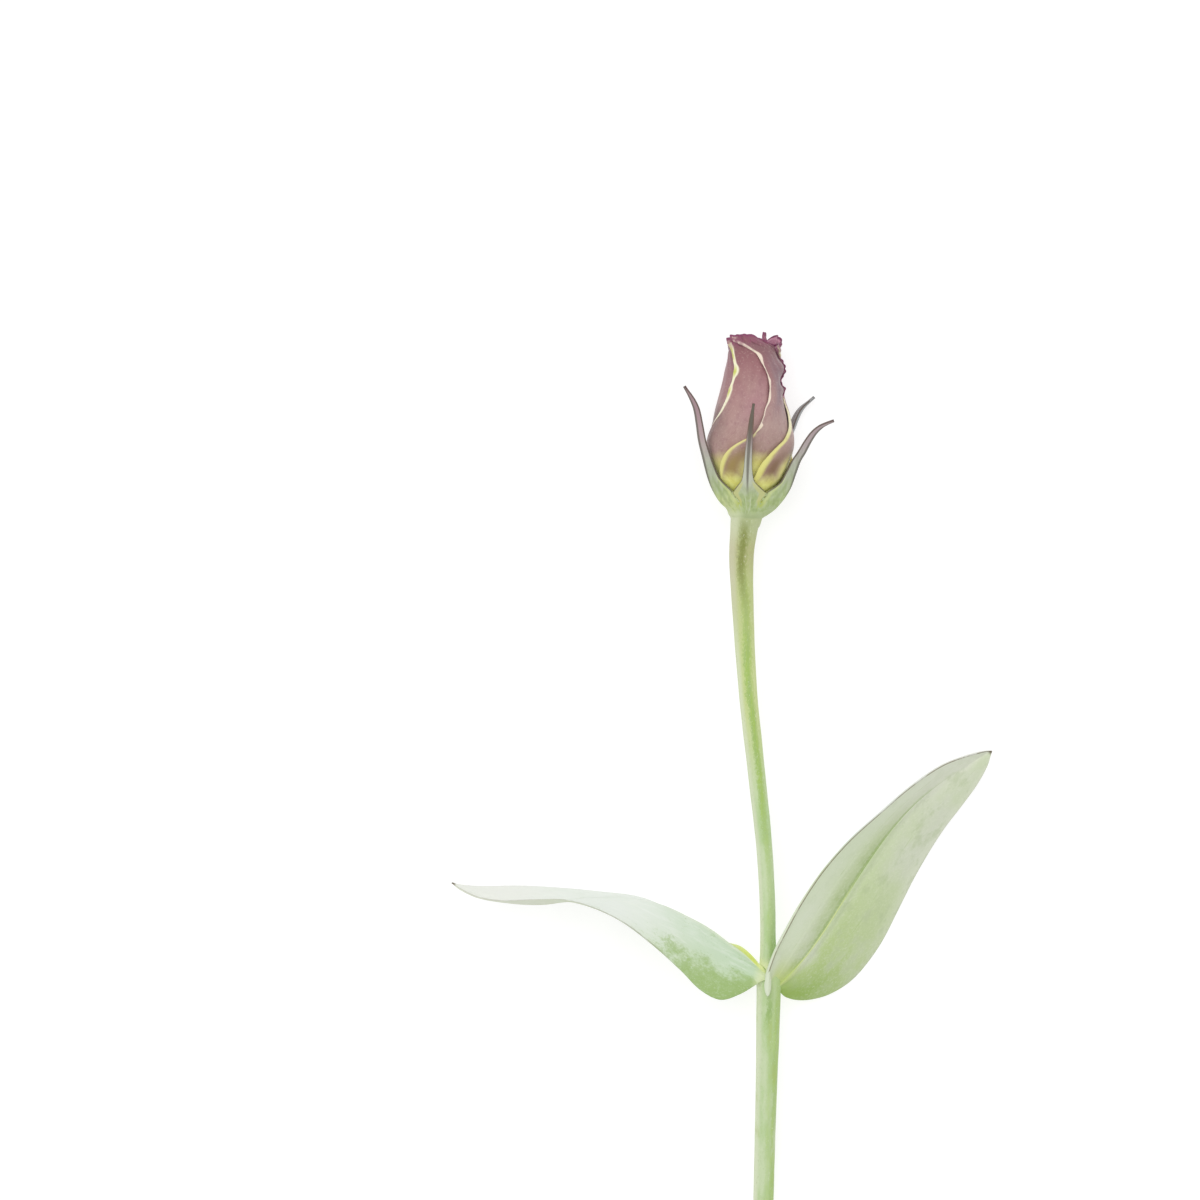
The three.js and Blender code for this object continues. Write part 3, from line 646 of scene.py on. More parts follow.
def leaf_upper_colour(shader, colours, across, length, grain):
    """Bluish-white bloom, whiter towards the tip, rubbed green along the foot of one margin."""
    cloud, blotch, lines, speckle = grain
    bloom = shader.mix(length.fade(0.04, 0.5), srgb(194, 216, 184), colours.leaf_bloom)
    bloom = bloom.tint(srgb(236, 241, 233), lines.fade(0.45, 0.7, 0.0, 0.6))
    clouded = cloud.fade(0.45, 0.7, 0.0, 0.5) * length.fade(0.8, 0.4, 0.3, 1.0)
    bloom = bloom.tint(srgb(204, 222, 196), clouded)
    bloom = bloom.tint(srgb(236, 237, 230), length.fade(0.55, 0.9, 0.0, 0.8))
    near = across.fade(0.42, 0.04)
    foot = length.fade(0.0, 0.06) * length.fade(0.52, 0.16)
    zone = near * foot
    by_margin = across.fade(0.22, 0.0) * length.fade(0.56, 0.34)
    zone = zone.most(by_margin * 0.5)
    soft = zone * 0.75
    colour = bloom.tint(srgb(190, 212, 162), soft)
    worn = blotch * 0.55 + speckle * 0.45
    rubbed = (worn + zone * 0.32).fade(0.56, 0.78)
    rubbed = rubbed * length.fade(0.75, 0.3, 0.25, 1.0)
    colour = colour.tint(colours.leaf_green, rubbed * 0.8)
    scratches = speckle.fade(0.5, 0.66) * zone
    colour = colour.tint(srgb(214, 228, 198), scratches * 0.4)
    # A few greener spots, a pale rib, partly its own colour and partly a painted highlight along the fold,
    # and yellow-green at the foot of the far half.
    spots = blotch.fade(0.62, 0.7) * length.fade(0.6, 0.2)
    colour = colour.tint(srgb(160, 192, 122), spots * 0.45)
    fleck = speckle.fade(0.58, 0.7) * length.fade(0.34, 0.1)
    colour = colour.tint(srgb(150, 186, 122), fleck * 0.45)
    rib = across.band(0.5, 0.035) * length.fade(0.5, 0.1)
    colour = colour.tint(srgb(230, 238, 214), rib * 0.6)
    glow = across.fade(0.52, 0.6) * length.fade(0.27, 0.06)
    colour = colour.tint(srgb(224, 234, 108), glow * 0.9)
    # Pale at the foot: partly the joint's colour, partly a painted highlight where the fold meets the stem.
    union = length.fade(0.055, 0.015)
    return colour.tint(srgb(224, 232, 180), union * 0.7)


def leaf_back_colour(shader, colours, across, length, grain):
    """Matt grey-green with painted shade beside the rib, greener at the foot, paler towards the margins and
    tip.
    """
    cloud, blotch, lines, speckle = grain
    back = shader.mix(cloud.fade(0.36, 0.64), colours.leaf_back, srgb(198, 211, 172))
    outer = across.fade(0.52, 0.62) * length.fade(0.62, 0.14)
    greener = outer * (cloud + blotch).fade(0.8, 1.15, 0.2, 0.85)
    back = back.tint(srgb(176, 197, 130), greener)
    foot = across.fade(0.6, 0.9) * length.fade(0.3, 0.05)
    back = back.tint(srgb(144, 176, 80), foot * 0.9)
    # Painted shade left of the rib: a broad darker green band, and a narrow one in the valley beside it.
    wide = across.band(0.43, 0.14) * length.fade(0.8, 0.35)
    wide = wide * blotch.fade(0.35, 0.6, 0.35, 1.0)
    back = back.tint(srgb(160, 180, 122), wide * 0.75)
    rib_valley_shade = across.band(0.475, 0.04) * length.fade(0.97, 0.6)
    back = back.tint(srgb(150, 174, 106), rib_valley_shade * 0.7)
    pale = across.fade(0.4, 0.16) * length.fade(0.02, 0.2)
    back = back.tint(srgb(216, 226, 200), pale * 0.75)
    edge_pale = across.fade(0.86, 0.99) * length.fade(0.25, 0.6, 0.12, 1.0)
    back = back.tint(srgb(220, 226, 202), edge_pale * 0.6)
    tip = length.fade(0.5, 0.95) * across.fade(0.5, 0.7, 0.7, 0.2)
    back = back.tint(srgb(224, 226, 212), tip)
    back = back.tint(srgb(228, 232, 214), speckle.fade(0.46, 0.7, 0.0, 0.3))
    smudge = blotch.fade(0.5, 0.34) * across.fade(0.36, 0.56, 0.1, 0.35)
    back = back.tint(srgb(166, 184, 134), smudge)
    # The rib is a pale yellow line low down and a green one above, with faint side veins.
    off_rib = abs(across - 0.5)
    line = shader.mix(length.fade(0.3, 0.46), colours.rib, srgb(146, 172, 104))
    rib = off_rib.fade(0.012, 0.004) * length.fade(0.9, 0.62)
    back = back.tint(line, rib)
    side_vein = off_rib.band(0.23, 0.006)
    shown = side_vein * lines.fade(0.46, 0.62, 0.0, 0.5)
    back = back.tint(srgb(164, 184, 120), shown)
    base = length.fade(0.14, 0.02) * across.fade(0.08, 0.26)
    base_tone = shader.mix(across.fade(0.53, 0.6), srgb(184, 202, 112), srgb(152, 180, 88))
    return back.tint(base_tone, base * 0.8)


def leaf_material(colours, name, upper_up, turn, line_width, rim_share=0.0):
    """upper_up: whether its own upper face looks up. turn: where it points. line_width: the brown line
    along its first margin, and rim_share: its rolled rim, both as shares of its width."""
    shader = Shader(name, roughness=0.62, specular=0.25)
    place = shader.place()
    across, length, side = shader.layer("skin")
    grain = leaf_grain(shader, place, turn)
    own_upper = side if upper_up else 1.0 - side
    upper = leaf_upper_colour(shader, colours, across, length, grain)
    back = leaf_back_colour(shader, colours, across, length, grain)
    colour = back.tint(upper, own_upper)
    if rim_share:
        # The rolled rim is whitish low down, up to the brown line of the margin itself.
        rim = across.fade(rim_share, rim_share * 0.8) * length.fade(0.5, 0.3)
        colour = colour.tint(srgb(218, 227, 202), rim)
    line = across / length.fade(0.1, 0.45, 0.5 * line_width, line_width)
    line = line.fade(1.2, 0.5)
    if not rim_share:
        line = line * (own_upper * length.fade(0.26, 0.46, 0.0, 0.6))
    worn = grain[1].fade(0.36, 0.5, 0.4, 0.85)
    colour = colour.tint(colours.leaf_edge, line * worn)
    colour = colour.tint(srgb(112, 98, 78), length.fade(0.984, 0.995, 0.0, 0.85))
    height = grain[3] * 0.5 + grain[2]
    return shader.finish(colour, height, 0.25, 0.09 * MM, grain[0].fade(0.3, 0.7, 0.55, 0.7))


def calyx_material(colours):
    shader = Shader("calyx_grey_green", roughness=0.6, specular=0.25)
    place = shader.place()
    across, height, side = shader.layer("skin")
    lobe, front, aside = shader.layer("lobe")
    streaks = shader.noise(place, (1100, 170, 1100), 4)
    cloud = shader.noise(place, 260, 4, 0.6)
    grain = shader.noise(place, 1500, 3)
    mid = abs(across)
    cup = shader.mix(cloud.fade(0.4, 0.6), colours.calyx_green, srgb(175, 193, 134))
    # A painted highlight, pale yellow-green, on the cup's left low down.
    glow = aside.fade(-0.2, -0.75) * height.fade(2.6, 0.6, 0.1, 0.75)
    cup = cup.tint(srgb(206, 216, 152), glow)
    grey = shader.mix(height.fade(6, 14), colours.calyx_grey, srgb(180, 178, 174))
    colour = cup.tint(grey, height.fade(1.0, 7))
    colour = colour.tint(srgb(196, 204, 182), streaks.fade(0.42, 0.68, 0.0, 0.4))
    dark_streaks = streaks.fade(0.5, 0.3) * height.fade(10, 3, 0.3, 0.5)
    colour = colour.tint(srgb(142, 162, 110), dark_streaks)
    # Along a side lobe's foot: painted shade as a dark green streak, then a painted yellowish
    # highlight beside its margin.
    sides = (1.0 - front) * height.fade(7.5, 3.5)
    sides = sides * height.fade(-0.8, 0.8)
    shady = mid.band(0.36, 0.16) * sides
    colour = colour.tint(srgb(142, 162, 104), shady * 0.5)
    light = mid.band(0.8, 0.16) * sides
    colour = colour.tint(srgb(208, 216, 146), light * 0.65)
    colour = colour.tint(srgb(150, 160, 122), grain.fade(0.54, 0.7, 0.0, 0.25))
    # Side lobes run to a pinkish grey, bluer on the lobe behind. The front one runs to brown.
    pink = shader.mix(height.fade(14, 21), srgb(180, 154, 158), srgb(164, 132, 140))
    tip = shader.mix(lobe, srgb(158, 160, 163), pink)
    colour = colour.tint(tip, height.fade(7.5, 16, 0.0, 0.85))
    pale_flank = front * height.band(6.5, 6.5)
    colour = colour.tint(srgb(206, 208, 196), pale_flank * 0.6)
    brown = front * height.fade(10.5, 17, 0.0, 0.95)
    colour = colour.tint(colours.calyx_tip, brown)
    # Each keel is a dark line. The front one's flanks are pale.
    keel_width = height.fade(3, 12, 0.08, 0.16) * front.fade(0, 1, 1.0, 0.9)
    keel = (mid / keel_width).fade(1.0, 0.3)
    keel = keel * height.fade(0.5, 5.5, 0.0, 0.8)
    colour = colour.tint(srgb(106, 102, 92), keel)
    down = mid.band(0.14, 0.07) * height.fade(2.4, 0.5)
    down = down * (front * height.fade(-3.0, -1.6))
    colour = colour.tint(srgb(214, 222, 190), down * 0.6)
    # Tan membrane beside the front lobe's foot, with a thin dark line along its top.
    skin_low = height.fade(0.2, 4.4, 0.58, 0.4)
    skin_share = (mid - skin_low).fade(0.0, 0.12)
    skin_share = skin_share * height.fade(-0.6, 0.8)
    membrane = skin_share * front * height.fade(5.0, 3.8)
    colour = colour.tint(srgb(200, 200, 136), membrane * 0.8)
    # Dark thin margins on the lobes, which run down the cup as a crease to a yellow-green spot.
    rim = mid - height.fade(2, 10, 0.91, 0.86)
    rim = rim.fade(0.0, 0.06) * height.fade(0.2, 1.4)
    low_rim = mid.fade(0.9, 0.935)
    rim = rim.most(low_rim * height.fade(-0.3, 0.5))
    front_low = front * height.fade(3.4, 2.2)
    front_low = front_low * mid.fade(0.97, 0.93)
    rim = rim * (1.0 - front_low)
    rim_tone = shader.mix(height.fade(3.4, 1.8), srgb(100, 86, 76), srgb(126, 124, 62))
    colour = colour.tint(rim_tone, rim * 0.85)
    spot = mid.fade(0.66, 0.98) * height.band(-0.1, 1.3)
    colour = colour.tint(srgb(188, 200, 84), spot * 0.75)
    # The foot has the stem's colours, so that one runs into the other, with a painted highlight on its
    # left.
    foot = height.fade(-1.2, -2.8)
    pale = shader.mix(aside.fade(-0.1, -0.6), srgb(180, 194, 146), srgb(208, 217, 176))
    colour = colour.tint(pale, foot * 0.9)
    # Yellowish inside the cup only.
    inner = (1.0 - side) * height.fade(4.5, 2.5)
    colour = colour.tint(srgb(196, 204, 140), inner * 0.6)
    bumps = streaks + grain * 0.4
    return shader.finish(colour, bumps, 0.3, 0.08 * MM)


def petal_material(colours, name, tone, edge_cream=srgb(246, 242, 202), shade=0.0, cool=0.0, pink=0.0,
                   patch_tone=srgb(124, 94, 62)):
    """tone: the body's tint. edge_cream: its border's palest colour. patch_tone: the patch at its foot.
    shade: how far painted shade darkens the bud's low left.
    cool, pink: how grey or pink it turns inside its free edge."""
    shader = Shader(name, roughness=0.5, specular=0.3, sheen=0.2)
    place = shader.place()
    edge, height, side = shader.layer("skin")
    across, crest_gap, blotch = shader.layer("blade")
    wide, cream, magenta = shader.layer("border")
    vein_way = shader.take("Vector", "CombineXYZ", X=across * 110, Y=height * 0.22)
    veins = shader.noise(vein_way, 1.0, 3, 0.5)
    cloud = shader.noise(place, (130, 90, 130), 4, 0.6)
    mottle = shader.noise(place, (900, 600, 900), 4, 0.65)
    grain = shader.noise(place, 2400, 3)
    ragged = height + (cloud - 0.5) * 7.0

    # The body: paler in the middle, dusky pink above, in clouds, fine mottles and veins.
    body = shader.ramp(ragged / 40, [
        (0.24, srgb(166, 136, 122)), (0.33, srgb(180, 151, 139)), (0.43, srgb(191, 162, 152)),
        (0.56, colours.petal), (0.68, srgb(164, 121, 120)), (0.76, srgb(157, 109, 112)),
        (0.83, srgb(140, 91, 95)), (0.89, srgb(126, 80, 86))])
    body = body.tint(tone, 0.3)
    from_left = shader.split(place)[0]
    # Painted shade darkens the bud's low left.
    low_left_shade = from_left.fade(1.8 * MM, -1.4 * MM) * height.band(17, 9.5)
    body = body.tint(srgb(108, 78, 78), low_left_shade * shade)
    grey = edge.fade(0.6, 3.4) * height.band(26, 10)
    body = body.tint(srgb(132, 109, 119), grey * cool)
    rosy = edge.fade(4.0, 9.0) * height.band(24, 10)
    body = body.tint(srgb(176, 122, 138), rosy * pink)
    clouded = cloud.fade(0.4, 0.66, 0.0, 0.5) * height.fade(32, 22, 0.15, 1.0)
    body = body.tint(srgb(194, 163, 154), clouded)
    body = body.tint(srgb(146, 100, 108), mottle.fade(0.48, 0.68, 0.0, 0.35))
    body = body.tint(srgb(206, 178, 168), grain.fade(0.54, 0.7, 0.0, 0.3))
    body = body.tint(srgb(146, 106, 112), veins.fade(0.52, 0.7, 0.0, 0.25))
    # Yellow-green at the foot and beside the next petal, with a brownish patch inside the free edge.
    uneven = height + (cloud - 0.5) * 3.0
    uneven = uneven + (mottle - 0.5) * 1.2
    low = uneven.fade(7.1, 3.6)
    beside = edge.fade(4.2, 7.6) * uneven.fade(11.9, 7.6)
    near = edge.fade(2.1, 1.0) * uneven.fade(12.4, 8.4)
    yellow = low.most(beside.most(near) * 0.8)
    base = shader.mix(mottle.fade(0.36, 0.66), colours.petal_base, srgb(230, 228, 120))
    patch = edge.band(3.6, 3.8) * uneven.band(7.6, 6.0)
    body = body.tint(patch_tone, patch * 0.9)
    body = body.tint(base, yellow * 0.94)
    inside = shader.mix(height.fade(4, 30), srgb(214, 206, 150), srgb(218, 160, 182))
    body = inside.tint(body, side)

    # The free edge: a soft yellow-green border low down, a fine cream one above, magenta at ruffles.
    wobble = (shader.noise(place, 300, 3) - 0.5) * 1.1
    within = (edge + wobble * 0.3) / wide
    soft = cream.fade(0.2, 0.8, 0.35, 0.7)
    border = within.fade(1.15, soft)
    border = border * mottle.fade(0.3, 0.42, 0.75, 1.0)
    edging = shader.mix(cream, srgb(226, 221, 128), edge_cream)
    spot = blotch * within.fade(0.75, 0.35)
    edging = edging.tint(srgb(212, 216, 104), spot)
    edging = edging.tint(srgb(206, 150, 164), magenta)
    colour = body.tint(edging, border * 0.96)
    flush = edge.fade(3.0, 0.4) * (magenta * side)
    colour = colour.tint(srgb(178, 112, 140), flush * 0.75)
    hem = (edge + wobble * 0.2).fade(0.3, 0.12)
    colour = colour.tint(colours.petal_rim, hem * magenta)
    # Darker magenta below the crest, partly the tips' own blush and partly painted shade, and the
    # crest's dark magenta hem.
    blush = crest_gap.fade(3.0, 1.1) * mottle.fade(0.36, 0.6, 0.35, 1.0)
    colour = colour.tint(srgb(146, 84, 106), blush * side)
    crest = (crest_gap + wobble * 0.6).fade(0.6, 0.2)
    colour = colour.tint(colours.petal_rim, crest)
    bumps = veins + (grain * 0.3 + mottle)
    return shader.finish(colour, bumps, 0.25, 0.08 * MM, cloud.fade(0.3, 0.7, 0.45, 0.6))


def plain_organ_material(name, light, dark, roughness):
    """For the pistil and stamens: two tones in fine grain."""
    shader = Shader(name, roughness=roughness, specular=0.3)
    place = shader.place()
    grain = shader.noise(place, 1100, 4)
    cloud = shader.noise(place, 220, 2)
    mixed = shader.mix(cloud.fade(0.3, 0.7), light, dark)
    return shader.finish(mixed, grain, 0.4, 0.08 * MM)


# ---- Pieces -------------------------------------------------------------------------------------------


class BuildStem(bpy.types.Operator):
    """Build the stem, from its slanted cut to the calyx"""
    bl_idname = "lisianthus.stem"
    bl_label = "Stem"

    def execute(self, context):
        line = Line(STEM_LINE, even=False)
        steps = len(STEM_LINE) - 1
        radii = [(i / steps, radius) for i, radius in enumerate(STEM_RADII)]
        bm = grid(*STEM_GRID)
        skin = bm.verts.layers.float_vector.new("skin")
        for vert in bm.verts:
            turn, share = vert.co.x * 2 * math.pi, vert.co.y
            middle = line(share)
            ahead = (line(share + 0.002) - line(share - 0.002)).normalized()
            right = ahead.cross(Vector((0, 0, 1))).normalized()
            up = right.cross(ahead)
            length = middle.y
            ridges = 0.035 * math.cos(4 * turn + 0.5) * smoothstep(100, 80, length)
            knots = 0.16 * bell(length, -0.6, 1.6) - 0.1 * bell(length, 2.4, 0.9)
            wander = 0.05 * noise.noise(Vector((math.cos(turn), math.sin(turn), length * 0.16)))
            radius = along(radii, share) * (1 + ridges * 0.6) + knots + wander
            slant = max(1 - share * steps, 0) * CUT_SLANT * math.sin(turn) * radius
            point = middle + right * (radius * math.sin(turn)) + up * (radius * math.cos(turn))
            vert[skin] = (math.sin(turn), length, math.cos(turn))
            vert.co = to_world(point + ahead * slant)
        bmesh.ops.remove_doubles(bm, verts=bm.verts, dist=1e-7)
        caps = close_holes(bm)
        bmesh.ops.inset_region(bm, faces=caps, thickness=0.35 * MM, depth=0)
        bmesh.ops.poke(bm, faces=caps)
        finish_piece(bm, "stem_waxy", ["stem"], stem_material(context.scene.flower_colours))
        return {"FINISHED"}


def leaf_sheet(sizes, first, rib, second, bow, rib_up, rim_share=0.0):
    """A leaf's middle surface between its margins, folded along its rib, its first margin rolled up.
    bow: how far each half bulges up. rib_up: 1 where the rib stands up as a ridge, -1 for a groove."""
    lines = [Line(points) for points in (first, rib, second)]
    rib_height = sizes.rib_height / MM
    bm = grid(*LEAF_GRID)
    skin, depth = new_layers(bm, "skin")
    for vert in bm.verts:
        across, share = vert.co.x, vert.co.y
        flat = max(across - rim_share, 0) / (1 - rim_share)
        half = 0 if flat < 0.5 else 1
        s = flat * 2 - half
        a, b = lines[half](share), lines[half + 1](share)
        width = (b - a).length
        lift = bow[half] * width * math.sin(math.pi * s)
        # A groove or ridge along the rib, faint side veins, and a slow waver of the blade.
        off = (1 - s if half == 0 else s) * width
        fade = smoothstep(1.0, 0.55, share)
        lift += rib_up * rib_height * bell(off, 0, 0.42) * fade
        lift -= rib_up * 0.16 * bell(off, 1.3, 0.9) * fade
        lift += rib_up * 0.07 * bell(off, 0.46 * width, 0.3) * fade
        middle_part = math.sin(math.pi * share) * math.sin(math.pi * s)
        lift += 0.22 * noise.noise(Vector((s * 1.7 + half * 5, share * 7, 1.3))) * middle_part
        point = a.lerp(b, s) + Vector((0, 0, lift))
        if rim_share:
            radius = sizes.margin_roll / MM * lerp(1.0, 0.4, smoothstep(0.12, 0.4, share))
            radius *= smoothstep(1.0, 0.93, share)
            ahead = (lines[0](share + 0.01) - lines[0](share - 0.01)).normalized()
            outward = lines[0](share) - lines[1](share)
            outward = (outward - ahead * outward.dot(ahead)).normalized()
            up = ahead.cross(outward)
            up = up if up.z > 0 else -up
            angle = math.radians(200) * (1 - min(across / rim_share, 1))
            around = outward * (radius * (math.sin(angle) - 1)) + up * (radius * (1 - math.cos(angle)))
            point += around * smoothstep(0.35, 0.0, flat)
        edge_near = min(across, 1 - across)
        vert[skin] = (across, share, 0)
        vert[depth] = lerp(0.4, 1.0, smoothstep(0, 0.05, edge_near))
        vert[depth] *= lerp(0.6, 1.0, smoothstep(1, 0.96, share))
        vert.co = to_world(point)
    return bm


def add_ear(bm):
    """The rounded pale ear where the right leaf's rolled margin clasps the front of the stem."""
    skin = bm.verts.layers.float_vector["skin"]
    made = bmesh.ops.create_uvsphere(bm, u_segments=28, v_segments=20, radius=1)
    for vert in made["verts"]:
        aside, ahead, up = vert.co
        taper = lerp(1.0, 0.4, smoothstep(-0.2, 1.0, ahead))
        x = 3.38 + 0.8 * aside * taper + 0.3 * smoothstep(-0.2, 1, ahead)
        vert[skin] = (0.035 + 0.035 * smoothstep(-0.1, 0.8, aside), 0.1, 1.0)
        vert.co = to_world((x, -1.5 + 3.0 * ahead, 12.3 + 0.42 * up))


class BuildLeaves(bpy.types.Operator):
    """Build the leaf pair"""
    bl_idname = "lisianthus.leaves"
    bl_label = "Leaves"

    def execute(self, context):
        sizes, colours = context.scene.flower_sizes, context.scene.flower_colours
        left = leaf_sheet(sizes, LEFT_NEAR, LEFT_RIB, LEFT_FAR, bow=(0.1, 0.08), rib_up=-1)
        right = leaf_sheet(sizes, RIGHT_LEFT, RIGHT_RIB, RIGHT_RIGHT, bow=(-0.08, 0.08), rib_up=1,
                           rim_share=RIM_SHARE)
        for bm in (left, right):
            thicken(bm, sizes.leaf_thickness)
        add_ear(right)
        left_look = leaf_material(colours, "leaf_left_bloom", upper_up=True, turn=math.radians(-27),
                                  line_width=0.016)
        right_look = leaf_material(colours, "leaf_right_matt", upper_up=False, turn=math.radians(48),
                                   line_width=0.026, rim_share=RIM_SHARE)
        for bm, side, look in ((left, "left", left_look), (right, "right", right_look)):
            finish_piece(bm, f"leaf_{side}_blade", [f"leaf_{side}"], look)
        return {"FINISHED"}


class BuildCalyx(bpy.types.Operator):
    """Build the calyx: a cup that parts into five keeled lobes"""
    bl_idname = "lisianthus.calyx"
    bl_label = "Calyx"

    def execute(self, context):
        sizes = context.scene.flower_sizes
        bm = bmesh.new()
        skin, lobe_layer, depth = new_layers(bm, "skin", "lobe")
        cup_top, foot_radius = CUP_PROFILE[-1]
        for number, lobe in enumerate(LOBES):
            foot = [(height, distance + lobe["swell"]) for height, distance in KEEL_FOOT[-2:]]
            keel = Line([(distance, height, 0) for height, distance in foot + lobe["keel"]])
            length = sum((b - a).length for a, b in zip(keel.points, keel.points[1:]))
            start = (keel.points[1] - keel.points[0]).length / length
            for vert in add_sheet(bm, *LOBE_GRID):
                across, share = vert.co.x * 2 - 1, vert.co.y
                border = 0 if across < 0 else 1
                if share <= CUP_SHARE:
                    height = lerp(CUP_PROFILE[0][0], cup_top, share / CUP_SHARE)
                    spread = smoothstep(0.3, cup_top, height)
                    side_turn = lerp(lobe["low"][border], lobe["high"][border], spread)
                    turn = lerp(lobe["turn"], side_turn, abs(across))
                    ridge = (1 - abs(across)) ** 2
                    swell = lobe["swell"] * smoothstep(0, 1.9, height - lobe["rise"])
                    keel_distance = along(KEEL_FOOT, height) + swell
                    distance = lerp(along(CUP_PROFILE, height), keel_distance, ridge)
                else:
                    up = (share - CUP_SHARE) / (1 - CUP_SHARE)
                    at = keel(lerp(start, 1.0, up))
                    width = along(LOBE_WIDTH, up) / 2 * lobe["wide"]
                    foot_width = math.radians(abs(lobe["high"][border] - lobe["turn"])) * foot_radius
                    half = lerp(foot_width, width, smoothstep(0.0, 0.15, up) ** 0.55)
                    fold = along(LOBE_FOLD, up) * lobe["fold"]
                    foot_fold = KEEL_FOOT[-1][1] + lobe["swell"] - foot_radius
                    fold = lerp(foot_fold, fold, smoothstep(0, 0.12, up))
                    distance = at.x - fold * (1 - (1 - abs(across)) ** 2)
                    height = at.y
                    tilt = lobe["turn"] + lobe["tilt"] * up * up
                    turn = tilt + math.degrees(half / distance) * across
                # The cup's foot lies a little aside, where the stem meets it.
                shift = Vector((-0.6, 0, 0)) * smoothstep(-0.6, -3.2, height)
                vert[skin] = (across, height, 0)
                front = 1.0 if number == 0 else 0.0
                vert[lobe_layer] = (LOBE_PINKNESS[number], front, math.sin(math.radians(turn)))
                margin = smoothstep(0.5, 1, abs(across)) if height > cup_top else 0
                vert[depth] = lerp(0.15, 1.0, smoothstep(-3.4, -2.2, height)) * lerp(1.0, 0.45, margin)
                vert.co = to_world(from_bloom(height, distance, turn) + shift)
        bmesh.ops.remove_doubles(bm, verts=bm.verts, dist=2e-6)
        thicken(bm, sizes.calyx_thickness)
        finish_piece(bm, "calyx_lobed", ["calyx"], calyx_material(context.scene.flower_colours))
        return {"FINISHED"}


def wrapped(height, turn, depth):
    """A point of a wrapped petal, by height, turn and its depth square to the bud's outside."""
    # The bud is a little hollow on its right and bulges on its left.
    left, right = bell((turn + 270) % 360, 180, 50), bell((turn + 90) % 360, 180, 50)
    radius = along(BUD_PROFILE, height) - 0.22 * right * bell(height, 29, 7)
    bulge = 0.6 * bell(height, 35.2, 1.2) - 0.15 * bell(height, 31, 1.6) + 0.28 * bell(height, 22.5, 5.5)
    radius += left * bulge
    slope = (along(BUD_PROFILE, height + 0.1) - along(BUD_PROFILE, height - 0.1)) / 0.2
    square = 1 / math.hypot(1, slope)
    return from_bloom(height + depth * slope * square, radius - depth * square, turn)


